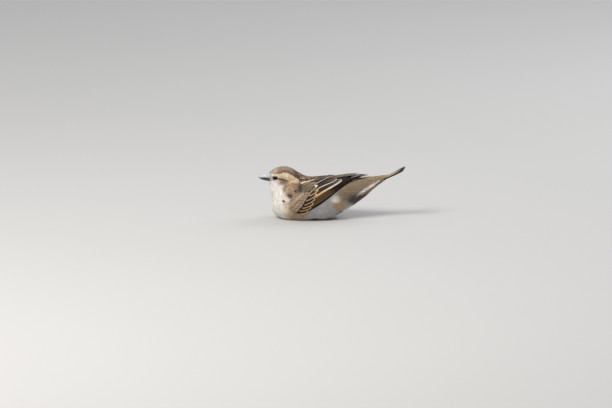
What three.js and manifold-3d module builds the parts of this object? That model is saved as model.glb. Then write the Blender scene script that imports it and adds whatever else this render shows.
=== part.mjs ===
// A hen house sparrow at life size, crouched on its belly as it does to bathe in dust.
// Millimetres, +Z up. It faces -X, its left side is towards -Y, and it rests on z = 0.
// Every solid is the outside of the plumage, out to the feather tips. Flesh and feather are
// built whole from lofted rings, and are then parted into head, neck, trunk, wings and so on
// by cuts JOINT_GAP wide.

import * as THREE from "three";
import { LoftGeometry } from "three/addons/geometries/LoftGeometry.js";
import { mergeVertices } from "three/addons/utils/BufferGeometryUtils.js";
import Module from "manifold-3d";

const wasm = await Module();
wasm.setup();

// ---- driving dimensions ------------------------------------------------------------------

const LENGTH = 148; // bill tip to tail tip, in this pose
const BILL_TIP_X = -LENGTH / 2;
const TAIL_TIP_X = LENGTH / 2 - 0.5; // its slanting end reaches LENGTH / 2
const JOINT_GAP = 0.3; // left between neighbouring solids

const CULMEN = 11; // bill tip to the feathers of the forehead
const BILL_BASE_X = BILL_TIP_X + CULMEN;
const BILL_TIP_Z = 40.6;
const BILL_ROOT = 1.6; // how far the bill runs back inside the face

const EYE_RADIUS = 3.0;
const EYE = { x: -56.6, y: 5.45, z: 41.8 };

const WING_THICK = 2.4; // folded wing with its coverts
const WING_PART_Y = 0.5; // half the gap between the two wings over the back

const TAIL_ROOT_X = 40;
const TAIL_ROOT_Z = 34.9;
const TAIL_TIP_Z = 51.4;
const TAIL_HALF_ROOT = 4.6;
const TAIL_HALF_TIP = 8.2;
const TAIL_THICK = 1.5;
const TAIL_ARCH = 1.3; // how much the middle feathers stand above the outer ones
const TAIL_NOTCH = 2.2; // depth of the fork

const TARSUS_RADIUS = 1.15;
const FOOT_Y = 11; // each foot's distance from the middle
const FOOT_X = -6.5; // where the toes meet
const TOE_RADIUS = 0.95;

// ---- rings and lofts ---------------------------------------------------------------------

const THINNEST = 0.2; // a ring drawn in by more than its size keeps this much

// A closed ring about centre, half wide to each side along across. Along upward it reaches up
// one way and down the other. Its lower half is round, or squarer where full is under 1.
function ring(centre, across, upward, { half, up, down, full = 1 }, count) {
  const points = [];
  for (let i = 0; i < count; i++) {
    const angle = (2 * Math.PI * i) / count;
    const turn = Math.cos(angle);
    const rise = Math.sin(angle);
    const power = rise < -1e-9 ? full : 1;
    const out = half * Math.sign(turn) * Math.abs(turn) ** power;
    const lift = rise > 0 ? up * rise : -down * Math.abs(rise) ** power;
    points.push(
      centre.clone().addScaledVector(across, out).addScaledVector(upward, lift),
    );
  }
  return points;
}

// The named fields' smooth values at share t of the way through a list of stations.
function blend(stations, fields, t) {
  const values = {};
  for (const field of fields) {
    const curve = new THREE.SplineCurve(
      stations.map((s, i) => new THREE.Vector2(i, s[field] ?? 1)),
    );
    values[field] = curve.getPoint(t).y;
  }
  return values;
}

// A loft along X through upright rings.
function loftAlongX(stations, { grow = 0, around, along }) {
  const sections = [];
  for (let i = 0; i <= along; i++) {
    const v = blend(stations, ["x", "z", "up", "down", "half", "full"], i / along);
    sections.push(
      ring(
        new THREE.Vector3(v.x, 0, v.z),
        new THREE.Vector3(0, 1, 0),
        new THREE.Vector3(0, 0, 1),
        {
          half: Math.max(v.half + grow, THINNEST),
          up: Math.max(v.up + grow, THINNEST),
          down: Math.max(v.down + grow, THINNEST),
          full: v.full,
        },
        around,
      ),
    );
  }
  return new LoftGeometry(sections, { capStart: true, capEnd: true });
}

// A loft along Z through level rings, from front to back and side to side.
function loftAlongZ(stations, { around, along }) {
  const sections = [];
  for (let i = 0; i <= along; i++) {
    const v = blend(stations, ["z", "front", "back", "half"], i / along);
    const middle = (v.front + v.back) / 2;
    const reach = (v.back - v.front) / 2;
    sections.push(
      ring(
        new THREE.Vector3(middle, 0, v.z),
        new THREE.Vector3(1, 0, 0),
        new THREE.Vector3(0, 1, 0),
        { half: reach, up: v.half, down: v.half },
        around,
      ),
    );
  }
  return new LoftGeometry(sections, { capStart: true, capEnd: true });
}

// A round limb through points, with a radius at each.
function limb(points, radii, { around = 8, along = 6, grow = 0 } = {}) {
  const path = new THREE.CatmullRomCurve3(points);
  const stations = radii.map((radius) => ({ radius: radius + grow }));
  const sections = [];
  for (let i = 0; i <= along; i++) {
    const t = i / along;
    const ahead = path.getTangent(t);
    const across = new THREE.Vector3(0, 0, 1).cross(ahead).normalize();
    const upward = ahead.clone().cross(across);
    const { radius } = blend(stations, ["radius"], t);
    sections.push(
      ring(
        path.getPoint(t),
        across,
        upward,
        { half: radius, up: radius, down: radius },
        around,
      ),
    );
  }
  return new LoftGeometry(sections, { capStart: true, capEnd: true });
}

// ---- cuts and joins ----------------------------------------------------------------------

const WELD = 1e-4;

function solid(geometry) {
  const bare = new THREE.BufferGeometry();
  bare.setAttribute("position", geometry.getAttribute("position"));
  bare.setIndex(geometry.index);
  const merged = mergeVertices(bare, WELD);
  const index = merged.index.array;
  const faces = [];
  for (let i = 0; i < index.length; i += 3) {
    const [a, b, c] = index.slice(i, i + 3);
    if (a !== b && b !== c && c !== a) faces.push(a, b, c);
  }
  return new wasm.Manifold(
    new wasm.Mesh({
      numProp: 3,
      vertProperties: merged.attributes.position.array,
      triVerts: new Uint32Array(faces),
    }),
  );
}

function geometryOf(shape) {
  const { numProp, vertProperties, triVerts, numVert } = shape.getMesh();
  const positions = new Float32Array(numVert * 3);
  for (let i = 0; i < numVert; i++) {
    positions.set(vertProperties.subarray(i * numProp, i * numProp + 3), i * 3);
  }
  const geometry = new THREE.BufferGeometry();
  geometry.setAttribute("position", new THREE.BufferAttribute(positions, 3));
  geometry.setIndex(new THREE.BufferAttribute(triVerts, 1));
  geometry.computeVertexNormals();
  return geometry;
}

// The largest body of a shape that a cut may have left in pieces.
function largest(shape) {
  return shape.decompose().sort((a, b) => b.volume() - a.volume())[0];
}

const joined = (shapes) => shapes.reduce((a, b) => a.add(b));
const cutBy = (shape, tools) =>
  tools.reduce((left, tool) => left.subtract(tool), shape);

// A block with its near face through two points of the middle plane, seen from the left.
// It fills the side to the left of the way from one to the other.
const BLOCK = 200;
function halfSpace(from, to, shift = 0) {
  const geometry = new THREE.BoxGeometry(BLOCK, BLOCK, BLOCK);
  geometry.translate(0, 0, BLOCK / 2 + shift);
  const turn = Math.atan2(to[1] - from[1], to[0] - from[0]);
  geometry.rotateY(-turn);
  geometry.translate((from[0] + to[0]) / 2, 0, (from[1] + to[1]) / 2);
  return solid(geometry);
}

// The two sides of a shape parted by a cut JOINT_GAP wide: above, then below.
function parted(shape, from, to) {
  return [
    shape.intersect(halfSpace(from, to, JOINT_GAP / 2)),
    shape.subtract(halfSpace(from, to, -JOINT_GAP / 2)),
  ];
}

// ---- the body under and over its feathers ------------------------------------------------

// Head: from the feathers round the bill to the back of the skull.
const HEAD = [
  { x: BILL_BASE_X - 0.6, z: 41.7, up: 3.6, down: 3.3, half: 3.0 },
  { x: -61.4, z: 41.7, up: 5.5, down: 5.6, half: 5.2 },
  { x: -58.0, z: 41.5, up: 8.2, down: 7.7, half: 7.0 },
  { x: -52.5, z: 41.3, up: 10.4, down: 9.6, half: 8.5 },
  { x: -46.5, z: 41.0, up: 11.1, down: 10.5, half: 9.4 },
  { x: -40.5, z: 39.8, up: 10.6, down: 10.5, half: 9.6 },
  { x: -35.0, z: 37.6, up: 9.2, down: 10.5, half: 9.2 },
  { x: -29.0, z: 34.6, up: 8.1, down: 9.5, half: 9.0 },
  { x: -22.0, z: 31.5, up: 8.6, down: 8.0, half: 9.0 },
  { x: -16.0, z: 29.5, up: 6.0, down: 6.0, half: 6.0 },
];

// Neck and throat, from inside the trunk to inside the head, drawn in between the shoulders.
const NECK = [
  { z: 12.0, front: -55.5, back: -20.0, half: 15.0 },
  { z: 19.0, front: -59.6, back: -17.0, half: 17.0 },
  { z: 25.0, front: -61.2, back: -16.5, half: 16.6 },
  { z: 30.5, front: -62.4, back: -20.0, half: 14.0 },
  { z: 35.5, front: -62.9, back: -26.0, half: 10.8 },
  { z: 40.0, front: -60.0, back: -30.0, half: 8.6 },
  { z: 44.0, front: -56.0, back: -35.0, half: 6.5 },
];

// Breast, belly, back and rump, out to the tips of the tail coverts.
const TRUNK = [
  { x: -59.6, z: 15.0, up: 6.0, down: 6.5, half: 7.0, full: 1 },
  { x: -57.6, z: 16.5, up: 11.5, down: 11.8, half: 12.0, full: 0.95 },
  { x: -51.5, z: 18.5, up: 17.5, down: 17.6, half: 17.0, full: 0.8 },
  { x: -42.0, z: 20.0, up: 20.0, down: 21.3, half: 19.8, full: 0.66 },
  { x: -30.0, z: 21.0, up: 20.2, down: 22.5, half: 21.0, full: 0.6 },
  { x: -17.0, z: 21.5, up: 18.9, down: 23.0, half: 21.4, full: 0.58 },
  { x: -4.0, z: 22.5, up: 18.0, down: 22.8, half: 20.4, full: 0.62 },
  { x: 9.0, z: 24.5, up: 15.8, down: 18.6, half: 17.6, full: 0.8 },
  { x: 21.0, z: 27.5, up: 12.9, down: 14.6, half: 13.8, full: 1 },
  { x: 32.0, z: 31.0, up: 10.0, down: 9.8, half: 10.4, full: 1 },
  { x: 42.0, z: 35.3, up: 6.0, down: 4.4, half: 8.0, full: 1 },
  { x: 51.5, z: 39.9, up: 2.7, down: 2.1, half: 5.8, full: 1 },
  { x: 54.0, z: 41.2, up: 1.5, down: 1.3, half: 3.8, full: 1 },
];

const HEAD_SIZE = { around: 20, along: 14 };
const NECK_SIZE = { around: 20, along: 8 };
const TRUNK_SIZE = { around: 26, along: 22 };

const trunkLoft = (grow = 0) =>
  solid(loftAlongX(TRUNK, { ...TRUNK_SIZE, grow }));
const headLoft = () => solid(loftAlongX(HEAD, HEAD_SIZE));
const neckLoft = () => solid(loftAlongZ(NECK, NECK_SIZE));

const floor = solid(
  new THREE.BoxGeometry(2 * BLOCK, BLOCK, BLOCK).translate(0, 0, -BLOCK / 2),
);

// ---- wings -------------------------------------------------------------------------------

// Both folded wings as one cloak over shoulders, back and rump.
const CLOAK = [
  { x: -47.0, z: 24.5, up: 9.0, down: 10.0, half: 16.0, full: 1 },
  { x: -42.5, z: 23.5, up: 16.5, down: 20.0, half: 21.0, full: 0.8 },
  { x: -34.0, z: 22.5, up: 19.8, down: 24.0, half: 23.2, full: 0.7 },
  { x: -22.0, z: 22.5, up: 20.4, down: 25.0, half: 23.8, full: 0.64 },
  { x: -9.0, z: 24.0, up: 18.6, down: 22.0, half: 22.8, full: 0.72 },
  { x: 4.0, z: 27.0, up: 15.4, down: 18.0, half: 19.6, full: 0.9 },
  { x: 15.0, z: 32.0, up: 12.2, down: 12.0, half: 14.8, full: 1 },
  { x: 24.5, z: 36.8, up: 8.0, down: 8.4, half: 9.8, full: 1 },
  { x: 32.5, z: 40.8, up: 4.4, down: 4.6, half: 6.0, full: 1 },
  { x: 37.6, z: 43.4, up: 1.6, down: 1.6, half: 2.6, full: 1 },
];
const CLOAK_SIZE = { around: 24, along: 18 };

// The outline of a folded wing seen from the side, as x, z: from the wrist back along the
// lower edge of the primaries to their tips, then forward over the back and the shoulder.
const WING_OUTLINE = [
  [-50, 27], [-48, 16], [-42, 9.5], [-34, 6.8], [-27, 6.2], [-22.5, 9.2], [-16, 14.4], [-4, 23.2],
  [11, 34.7], [19, 39.6], [40, 43.8], [40, 56], [3, 56], [-5, 40.6], [-14, 38.8],
  [-24, 38.0], [-44, 38.0],
];

// Where the coverts end over the flight feathers, and where the secondaries end over the
// primaries.
const COVERT_SEAM = [[-22, 2], [-19.6, 15], [-15.5, 28], [-11.5, 36], [-10, 48]];
const PRIMARY_SEAM = [[-21, 12.6], [-14, 20], [-4, 29.2], [10, 38.6], [20, 42.4], [30, 50]];

function sideways(outline, nearY, farY) {
  const shape = new THREE.Shape(
    outline.map(([x, z]) => new THREE.Vector2(x, z)),
  );
  const geometry = new THREE.ExtrudeGeometry(shape, {
    depth: farY - nearY,
    bevelEnabled: false,
  });
  geometry.rotateX(Math.PI / 2); // the outline's second axis turns up to Z
  geometry.translate(0, farY, 0);
  return solid(geometry);
}

// A ribbon JOINT_GAP wide along a line of x, z points.
function ribbon(line) {
  const half = JOINT_GAP / 2;
  const points = line.map(([x, z]) => new THREE.Vector2(x, z));
  const normals = points.map((point, i) => {
    const before = points[Math.max(0, i - 1)];
    const after = points[Math.min(points.length - 1, i + 1)];
    const along = after.clone().sub(before).normalize();
    return new THREE.Vector2(-along.y, along.x);
  });
  const edge = (share) =>
    points.map((point, i) => {
      const moved = point.clone().addScaledVector(normals[i], share * half);
      return [moved.x, moved.y];
    });
  return [...edge(1), ...edge(-1).reverse()];
}

// One wing's three solids, on the bird's left: coverts, secondaries, primaries.
function leftWing(body) {
  const nearY = -BLOCK / 4;
  const outer = solid(loftAlongX(CLOAK, CLOAK_SIZE));
  const inner = solid(loftAlongX(CLOAK, { ...CLOAK_SIZE, grow: -WING_THICK }));
  const shell = outer
    .subtract(inner)
    .intersect(sideways(WING_OUTLINE, nearY, -WING_PART_Y))
    .subtract(body);
  const seams = [COVERT_SEAM, PRIMARY_SEAM].map((line) =>
    sideways(ribbon(line), nearY, 0),
  );
  const pieces = cutBy(shell, seams)
    .decompose()
    .sort((a, b) => b.volume() - a.volume())
    .slice(0, 3)
    .sort((a, b) => a.boundingBox().min[0] - b.boundingBox().min[0]);
  const [coverts, ...flight] = pieces;
  flight.sort((a, b) => b.boundingBox().max[2] - a.boundingBox().max[2]);
  const [primaries, secondaries] = flight;
  return { coverts, secondaries, primaries };
}

// ---- tail --------------------------------------------------------------------------------

const TAIL_SECTIONS = 4;
const TAIL_ACROSS = 5; // points along each side of a section, from edge to edge

// The closed tail: a thin arched blade that widens to its tip.
function tailBlade(grow = 0) {
  const sections = [];
  const run = new THREE.Vector2(TAIL_TIP_X - TAIL_ROOT_X, TAIL_TIP_Z - TAIL_ROOT_Z);
  const upward = new THREE.Vector3(-run.y, 0, run.x).normalize();
  for (let i = 0; i <= TAIL_SECTIONS; i++) {
    const t = i / TAIL_SECTIONS;
    const half = THREE.MathUtils.lerp(TAIL_HALF_ROOT, TAIL_HALF_TIP, t) + grow;
    const thick = TAIL_THICK * (1 - 0.35 * t) + 2 * grow;
    const sag = 0.5 * Math.sin(Math.PI * t); // the blade bows down a little on its way
    const centre = new THREE.Vector3(
      TAIL_ROOT_X + run.x * t,
      0,
      TAIL_ROOT_Z + run.y * t,
    ).addScaledVector(upward, -sag);
    const side = (level) =>
      Array.from({ length: TAIL_ACROSS }, (_, j) => {
        const across = (2 * j) / (TAIL_ACROSS - 1) - 1;
        const rise = TAIL_ARCH * (1 - across ** 2) - TAIL_ARCH / 2;
        return centre
          .clone()
          .add(new THREE.Vector3(0, half * across, 0))
          .addScaledVector(upward, rise + level);
      });
    sections.push([...side(-thick / 2), ...side(thick / 2).reverse()]);
  }
  return solid(new LoftGeometry(sections, { capStart: true, capEnd: true }));
}

function tail() {
  const notch = new THREE.Shape([
    new THREE.Vector2(TAIL_TIP_X + 1, -TAIL_HALF_TIP * 0.55),
    new THREE.Vector2(TAIL_TIP_X + 1, TAIL_HALF_TIP * 0.55),
    new THREE.Vector2(TAIL_TIP_X - TAIL_NOTCH, 0),
  ]);
  const wedge = new THREE.ExtrudeGeometry(notch, {
    depth: BLOCK,
    bevelEnabled: false,
  });
  return tailBlade().subtract(solid(wedge));
}

// ---- bill and eyes -----------------------------------------------------------------------

const BILL_STEPS = 6;
const BILL_AROUND = 12;
const BILL_GAPE_Z = 40.1; // where the two halves meet at the face

// One half of the bill: height is its depth at the face, side +1 above the gape, -1 below.
function billHalf({ height, half, short, side, bow }, grow = 0) {
  const sections = [];
  const rootX = BILL_BASE_X + BILL_ROOT;
  const reach = rootX - BILL_TIP_X - short;
  for (let i = 0; i <= BILL_STEPS; i++) {
    const t = i / BILL_STEPS; // 0 at the tip, 1 in the face
    const full = Math.min(1, 0.06 + 0.94 * t ** bow);
    const x = BILL_TIP_X + short + reach * t;
    const gape = THREE.MathUtils.lerp(BILL_TIP_Z, BILL_GAPE_Z, t);
    const level = gape + (side * JOINT_GAP) / 2 - side * grow;
    const depth = height * full + grow * 2;
    const thin = 0.18 * depth; // a blunt cutting edge
    sections.push(
      ring(
        new THREE.Vector3(x - (i === 0 ? grow : 0), 0, level + side * thin),
        new THREE.Vector3(0, 1, 0),
        new THREE.Vector3(0, 0, 1),
        {
          half: half * full + grow,
          up: side > 0 ? depth - thin : thin,
          down: side > 0 ? thin : depth - thin,
        },
        BILL_AROUND,
      ),
    );
  }
  return solid(new LoftGeometry(sections, { capStart: true, capEnd: true }));
}

const UPPER_BILL = { height: 5.9, half: 3.5, short: 0, side: 1, bow: 0.84 };
const LOWER_BILL = { height: 3.2, half: 3.1, short: 0.9, side: -1, bow: 0.6 };

function eyeball(side, grow = 0) {
  const ball = new THREE.SphereGeometry(EYE_RADIUS + grow, 14, 9);
  ball.translate(EYE.x, side * EYE.y, EYE.z);
  return solid(ball);
}

// ---- legs --------------------------------------------------------------------------------

const HEEL = { x: 10.4, z: 9.4 };
const SOLE = { x: FOOT_X + 0.8, z: 2.5 }; // where the tarsus stands on the toes

// The feathered leg above the heel, which swells from the flank.
function thigh(side, grow = 0) {
  const points = [
    new THREE.Vector3(-5, side * 12.4, 24),
    new THREE.Vector3(2.5, side * 13.6, 19),
    new THREE.Vector3(7.2, side * 13.2, 14.7),
    new THREE.Vector3(HEEL.x + 0.3, side * FOOT_Y, HEEL.z + 1.0),
  ];
  const radii = [6.0, 6.6, 4.9, 1.9];
  return solid(limb(points, radii, { around: 12, along: 7, grow }));
}

function tarsus(side, grow = 0) {
  const points = [
    new THREE.Vector3(HEEL.x, side * FOOT_Y, HEEL.z),
    new THREE.Vector3((HEEL.x + SOLE.x) / 2, side * FOOT_Y, 5.6),
    new THREE.Vector3(SOLE.x, side * FOOT_Y, SOLE.z),
  ];
  const radii = [TARSUS_RADIUS * 1.25, TARSUS_RADIUS, TARSUS_RADIUS * 1.1];
  return solid(limb(points, radii, { around: 9, along: 5, grow }));
}

// Toes: how far each turns from straight ahead, in degrees, its length and its claw's length.
const TOES = {
  hind: { turn: -172, length: 7.5, claw: 5.0 },
  inner: { turn: -19, length: 9.0, claw: 3.6 },
  middle: { turn: 2, length: 13.0, claw: 4.2 },
  outer: { turn: 20, length: 9.5, claw: 3.4 },
};

// A point on a toe or its claw: how far out along the toe, and how high.
function onToe(side, { turn }, out, z) {
  const angle = THREE.MathUtils.degToRad(turn);
  return new THREE.Vector3(
    FOOT_X - out * Math.cos(angle),
    side * (FOOT_Y + out * Math.sin(angle)),
    z,
  );
}

function toe(side, plan) {
  const reach = plan.length;
  const points = [
    onToe(side, plan, 0, 1.1),
    onToe(side, plan, reach * 0.5, 0.9),
    onToe(side, plan, reach, 0.8),
  ];
  const radii = [TOE_RADIUS * 1.25, TOE_RADIUS, TOE_RADIUS * 0.9];
  return solid(limb(points, radii, { around: 6, along: 2 }));
}

// The ball of the foot, where the toes meet under the tarsus.
function ballOfFoot(side) {
  const ball = new THREE.SphereGeometry(TOE_RADIUS * 1.6, 7, 4);
  ball.translate(FOOT_X + 0.3, side * FOOT_Y, 1.25);
  return solid(ball);
}

function claw(side, plan, grow = 0) {
  const from = plan.length - 0.3;
  const points = [
    onToe(side, plan, from - grow, 0.95),
    onToe(side, plan, from + plan.claw * 0.45, 1.3),
    onToe(side, plan, from + plan.claw, 0.45),
  ];
  return solid(limb(points, [0.7, 0.52, 0.28], { around: 6, along: 3, grow }));
}

// The hollow in the belly's feathers that a tucked foot lies in: its outline from above, with
// each point's way behind the foot's middle and out from it.
const HOLLOW = [
  [13.2, -1.9], [13.2, 2.4], [0.5, 3.2], [-11, 6.2], [-14.4, 5.2], [-18.8, 2], [-18.8, -0.8],
  [-14.4, -5.2], [-10, -5.2], [0.5, -2.7],
];
const HOLLOW_HEIGHT = 3.6;

function footHollow(side) {
  const shape = new THREE.Shape(
    HOLLOW.map(([back, out]) => new THREE.Vector2(FOOT_X + back, side * (FOOT_Y + out))),
  );
  const geometry = new THREE.ExtrudeGeometry(shape, {
    depth: HOLLOW_HEIGHT + 1,
    bevelEnabled: false,
  });
  geometry.translate(0, 0, -1);
  return solid(geometry);
}

// ---- materials ---------------------------------------------------------------------------

const finish = (color, roughness) =>
  new THREE.MeshStandardMaterial({ color, roughness, metalness: 0 });

const CROWN_BROWN = finish(0x9c8672, 0.85);
const THROAT_BUFF = finish(0xc9b9a4, 0.85);
const BELLY_GREY = finish(0xb3a493, 0.85);
const RUMP_BROWN = finish(0x9a8466, 0.85);
const COVERT_BROWN = finish(0x8c6c4a, 0.75);
const TERTIAL_BUFF = finish(0x9d7f58, 0.7);
const QUILL_BROWN = finish(0x4a3d31, 0.65);
const BILL_HORN = finish(0x6b655e, 0.4);
const EYE_BROWN = finish(0x140d08, 0.08);
const LEG_PINK = finish(0xa37d68, 0.55);
const CLAW_HORN = finish(0x5b4a3d, 0.4);

// ---- the bird put together ---------------------------------------------------------------

const sparrow = new THREE.Group();
sparrow.name = "house_sparrow";
const body = new THREE.Group();
const left = new THREE.Group();
const right = new THREE.Group();
right.scale.y = -1; // the right side is the left side mirrored
sparrow.add(body, left, right);

function meshOf(name, geometry, material) {
  const mesh = new THREE.Mesh(geometry, material);
  mesh.name = name;
  return mesh;
}

function placeOnBody(name, shape, material) {
  body.add(meshOf(name, geometryOf(largest(shape)), material));
}

// The same solid on both sides. The name holds SIDE, which becomes left or right.
function placePair(name, shape, material) {
  const geometry = geometryOf(largest(shape));
  left.add(meshOf(name.replace("SIDE", "left"), geometry, material));
  right.add(meshOf(name.replace("SIDE", "right"), geometry, material));
}

const LEFT = -1;
const RIGHT = 1;
const bothSides = (make) => [make(LEFT), make(RIGHT)];

// The three cuts through the body, each by two points of the middle plane as x, z.
const HEAD_CUT = [[-66, 33.5], [-30, 41.0]];
const NECK_CUT = [[-64, 15.0], [-20, 41.5]];
const RUMP_CUT = [[22, 0], [31, 60]];

const bills = [billHalf(UPPER_BILL, JOINT_GAP), billHalf(LOWER_BILL, JOINT_GAP)];
const sockets = bothSides((side) => eyeball(side, JOINT_GAP));
const thighs = bothSides((side) => thigh(side, JOINT_GAP));
const tarsi = bothSides((side) => tarsus(side, JOINT_GAP));

const footHollows = bothSides(footHollow);

const whole = joined([headLoft(), neckLoft(), trunkLoft()]).subtract(floor);
const [skull, belowHead] = parted(whole, ...HEAD_CUT);
const [neck, carcass] = parted(belowHead, ...NECK_CUT);
const [trunk, rump] = parted(carcass, ...RUMP_CUT);

placeOnBody("head", cutBy(skull, [...bills, ...sockets]), CROWN_BROWN);
placeOnBody("neck", neck, THROAT_BUFF);
placeOnBody("trunk", cutBy(trunk, [...thighs, ...tarsi, ...footHollows]), BELLY_GREY);
placeOnBody("rump", rump.subtract(tailBlade(JOINT_GAP)), RUMP_BROWN);
placeOnBody("tail", tail(), QUILL_BROWN);
placeOnBody("bill_upper", billHalf(UPPER_BILL), BILL_HORN);
placeOnBody("bill_lower", billHalf(LOWER_BILL), BILL_HORN);

placePair("eye_SIDE", eyeball(LEFT), EYE_BROWN);

const wing = leftWing(joined([trunkLoft(JOINT_GAP), neckLoft(), headLoft()]));
placePair("wing_SIDE_coverts", wing.coverts, COVERT_BROWN);
placePair("wing_SIDE_secondaries", wing.secondaries, TERTIAL_BUFF);
placePair("wing_SIDE_primaries", wing.primaries, QUILL_BROWN);

placePair("leg_SIDE_thigh", cutBy(thigh(LEFT), [tarsi[0]]), BELLY_GREY);
placePair("leg_SIDE_tarsus", tarsus(LEFT), LEG_PINK);
const toePlans = Object.values(TOES);
const foot = joined([ballOfFoot(LEFT), ...toePlans.map((plan) => toe(LEFT, plan))]);
const clawRoots = toePlans.map((plan) => claw(LEFT, plan, JOINT_GAP));
placePair("leg_SIDE_foot", cutBy(foot, [...clawRoots, tarsi[0], floor]), LEG_PINK);
for (const [which, plan] of Object.entries(TOES)) {
  placePair(`claw_SIDE_${which}`, claw(LEFT, plan).subtract(floor), CLAW_HORN);
}

export default sparrow;
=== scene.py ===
import itertools
import math

import bpy
import numpy as np
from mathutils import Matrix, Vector
from mathutils.bvhtree import BVHTree


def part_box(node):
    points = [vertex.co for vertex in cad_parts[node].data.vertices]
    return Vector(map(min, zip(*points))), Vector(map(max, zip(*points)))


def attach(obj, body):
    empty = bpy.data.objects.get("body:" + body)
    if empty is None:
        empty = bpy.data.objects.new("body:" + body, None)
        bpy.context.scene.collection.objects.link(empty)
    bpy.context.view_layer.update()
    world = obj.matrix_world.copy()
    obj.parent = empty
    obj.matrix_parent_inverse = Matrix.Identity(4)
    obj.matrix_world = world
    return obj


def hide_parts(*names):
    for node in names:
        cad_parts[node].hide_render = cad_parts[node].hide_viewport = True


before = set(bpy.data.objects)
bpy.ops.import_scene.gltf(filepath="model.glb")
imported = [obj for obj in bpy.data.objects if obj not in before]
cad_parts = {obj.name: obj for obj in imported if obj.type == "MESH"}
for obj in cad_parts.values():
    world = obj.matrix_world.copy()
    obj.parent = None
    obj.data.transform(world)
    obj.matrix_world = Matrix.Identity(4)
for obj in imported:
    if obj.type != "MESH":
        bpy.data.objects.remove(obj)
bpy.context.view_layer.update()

# ---- The studio ----------------------------------------------------------------------------
# A still model is looked at on a plain pale table, under a broad soft lamp high on its left, a
# weaker one across from it and the room's even light. The camera stands far off with a long
# lens, a little above the bird and square to its left side.

MM = 0.001
LENS = 500.0
SENSOR = 36.0
FARTHEST = 60.0  # what the camera still sees, in metres
FIELD_WIDTH = 612 * MM  # what the frame takes in at the bird
CAMERA_RISE = math.radians(12.0)
AIM = Vector((-26 * MM, 0.0, 13.8 * MM))
TABLE_WIDTH = 24.0
TABLE_PALE = (0.60, 0.59, 0.57, 1.0)
TABLE_SHADE = tuple(0.97 * c for c in TABLE_PALE[:3]) + (1.0,)
ROOM_PALE = (0.93, 0.95, 1.0, 1.0)
ROOM_LIGHT = 0.56

camera_data = bpy.data.cameras.new("long_lens")
camera_data.lens = LENS
camera_data.sensor_width = SENSOR
camera_data.clip_end = FARTHEST
camera = bpy.data.objects.new("long_lens", camera_data)
bpy.context.scene.collection.objects.link(camera)
away = Vector((0.0, -math.cos(CAMERA_RISE), math.sin(CAMERA_RISE)))
camera.location = AIM + away * (FIELD_WIDTH * LENS / SENSOR)
camera.rotation_mode = "QUATERNION"
camera.rotation_quaternion = (-away).to_track_quat("-Z", "Y")
bpy.context.scene.camera = camera


def new_material(name, roughness=0.6):
    """A material with its node tree and its Principled shader."""
    material = bpy.data.materials.new(name)
    material.use_nodes = True
    shader = material.node_tree.nodes["Principled BSDF"]
    shader.inputs["Roughness"].default_value = roughness
    return material, material.node_tree, shader


def feed(tree, socket, value):
    """Links a value to a socket, or sets the socket where the value is a constant."""
    if isinstance(value, bpy.types.NodeSocket):
        tree.links.new(value, socket)
    elif isinstance(value, np.ndarray):
        socket.default_value = (*value, 1.0)
    else:
        socket.default_value = value


def mixed(tree, factor, first, second, blend="MIX"):
    """Two colours mixed by a factor, or in another way of blending."""
    node = tree.nodes.new("ShaderNodeMix")
    node.data_type = "RGBA"
    node.blend_type = blend
    for name, value in (("Factor", factor), ("A", first), ("B", second)):
        feed(tree, node.inputs[name], value)
    return node.outputs["Result"]


bpy.ops.object.select_all(action="DESELECT")
bpy.ops.mesh.primitive_plane_add(size=TABLE_WIDTH, location=(0, 0, 0))
table = bpy.context.object
table.name = "studio_table"
material, tree, shader = new_material("Pale table card", 0.9)
grain = tree.nodes.new("ShaderNodeTexNoise")
grain.inputs["Scale"].default_value = 60.0
feed(tree, shader.inputs["Base Color"], mixed(tree, grain.outputs["Fac"], TABLE_PALE, TABLE_SHADE))
shader.inputs["Specular IOR Level"].default_value = 0.2
table.data.materials.append(material)

world = bpy.data.worlds.new("even_room")
bpy.context.scene.world = world
world.use_nodes = True
room = world.node_tree.nodes["Background"]
room.inputs["Color"].default_value = ROOM_PALE
room.inputs["Strength"].default_value = ROOM_LIGHT


def soft_lamp(name, place, size, watts, tint):
    """A square lamp of a size in metres that shines on the bird."""
    data = bpy.data.lights.new(name, "AREA")
    data.size = size
    data.energy = watts
    data.color = tint
    lamp = bpy.data.objects.new(name, data)
    bpy.context.scene.collection.objects.link(lamp)
    lamp.location = place
    lamp.rotation_mode = "QUATERNION"
    lamp.rotation_quaternion = (AIM - Vector(place)).to_track_quat("-Z", "Y")


soft_lamp("window", (-0.75, -0.8, 1.25), 0.7, 19.8, (1.0, 0.972, 0.93))
soft_lamp("fill", (0.9, 0.7, 0.9), 1.0, 6.5, (0.92, 0.96, 1.0))
bpy.context.scene.view_settings.view_transform = "Standard"

# ---- The skin ------------------------------------------------------------------------------
# The mount's body: one closed skin from the bill's root to the tail's, with no seams. It is
# the solid body drawn in by the depth of the feathers, thin on the face and deep on the
# belly, and it carries the same markings as the feathers that are set in it.

FLESH = ("head", "neck", "trunk", "rump", "leg_left_thigh", "leg_right_thigh")
EYES = ("eye_left", "eye_right")
BILL = ("bill_upper", "bill_lower")
LEFT_WING = ("wing_left_coverts", "wing_left_secondaries", "wing_left_primaries")
RIGHT_WING = ("wing_right_coverts", "wing_right_secondaries", "wing_right_primaries")
GRID = 0.7 * MM  # spacing of the remeshed skin
FINE_GRID = 0.6 * MM  # and that of the wings and the tail
GAP = 0.3 * MM  # between the solids, closed here

# The line that the feathers follow, in the bird's middle plane, in millimetres: bill, skull,
# neck, back, vent, tail.
SPINE_X = (-74, -62, -50, -42, -36, -22, 0, 20, 40, 56, 74)
SPINE_Z = (40.6, 41.6, 41.0, 36.0, 28.5, 22.5, 22.5, 28.0, 35.0, 43.0, 51.4)
SPINE_STEPS = 91
SPINE_SOFT = 30.0  # how softly the feathers' lie turns from one stretch to the next


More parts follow.
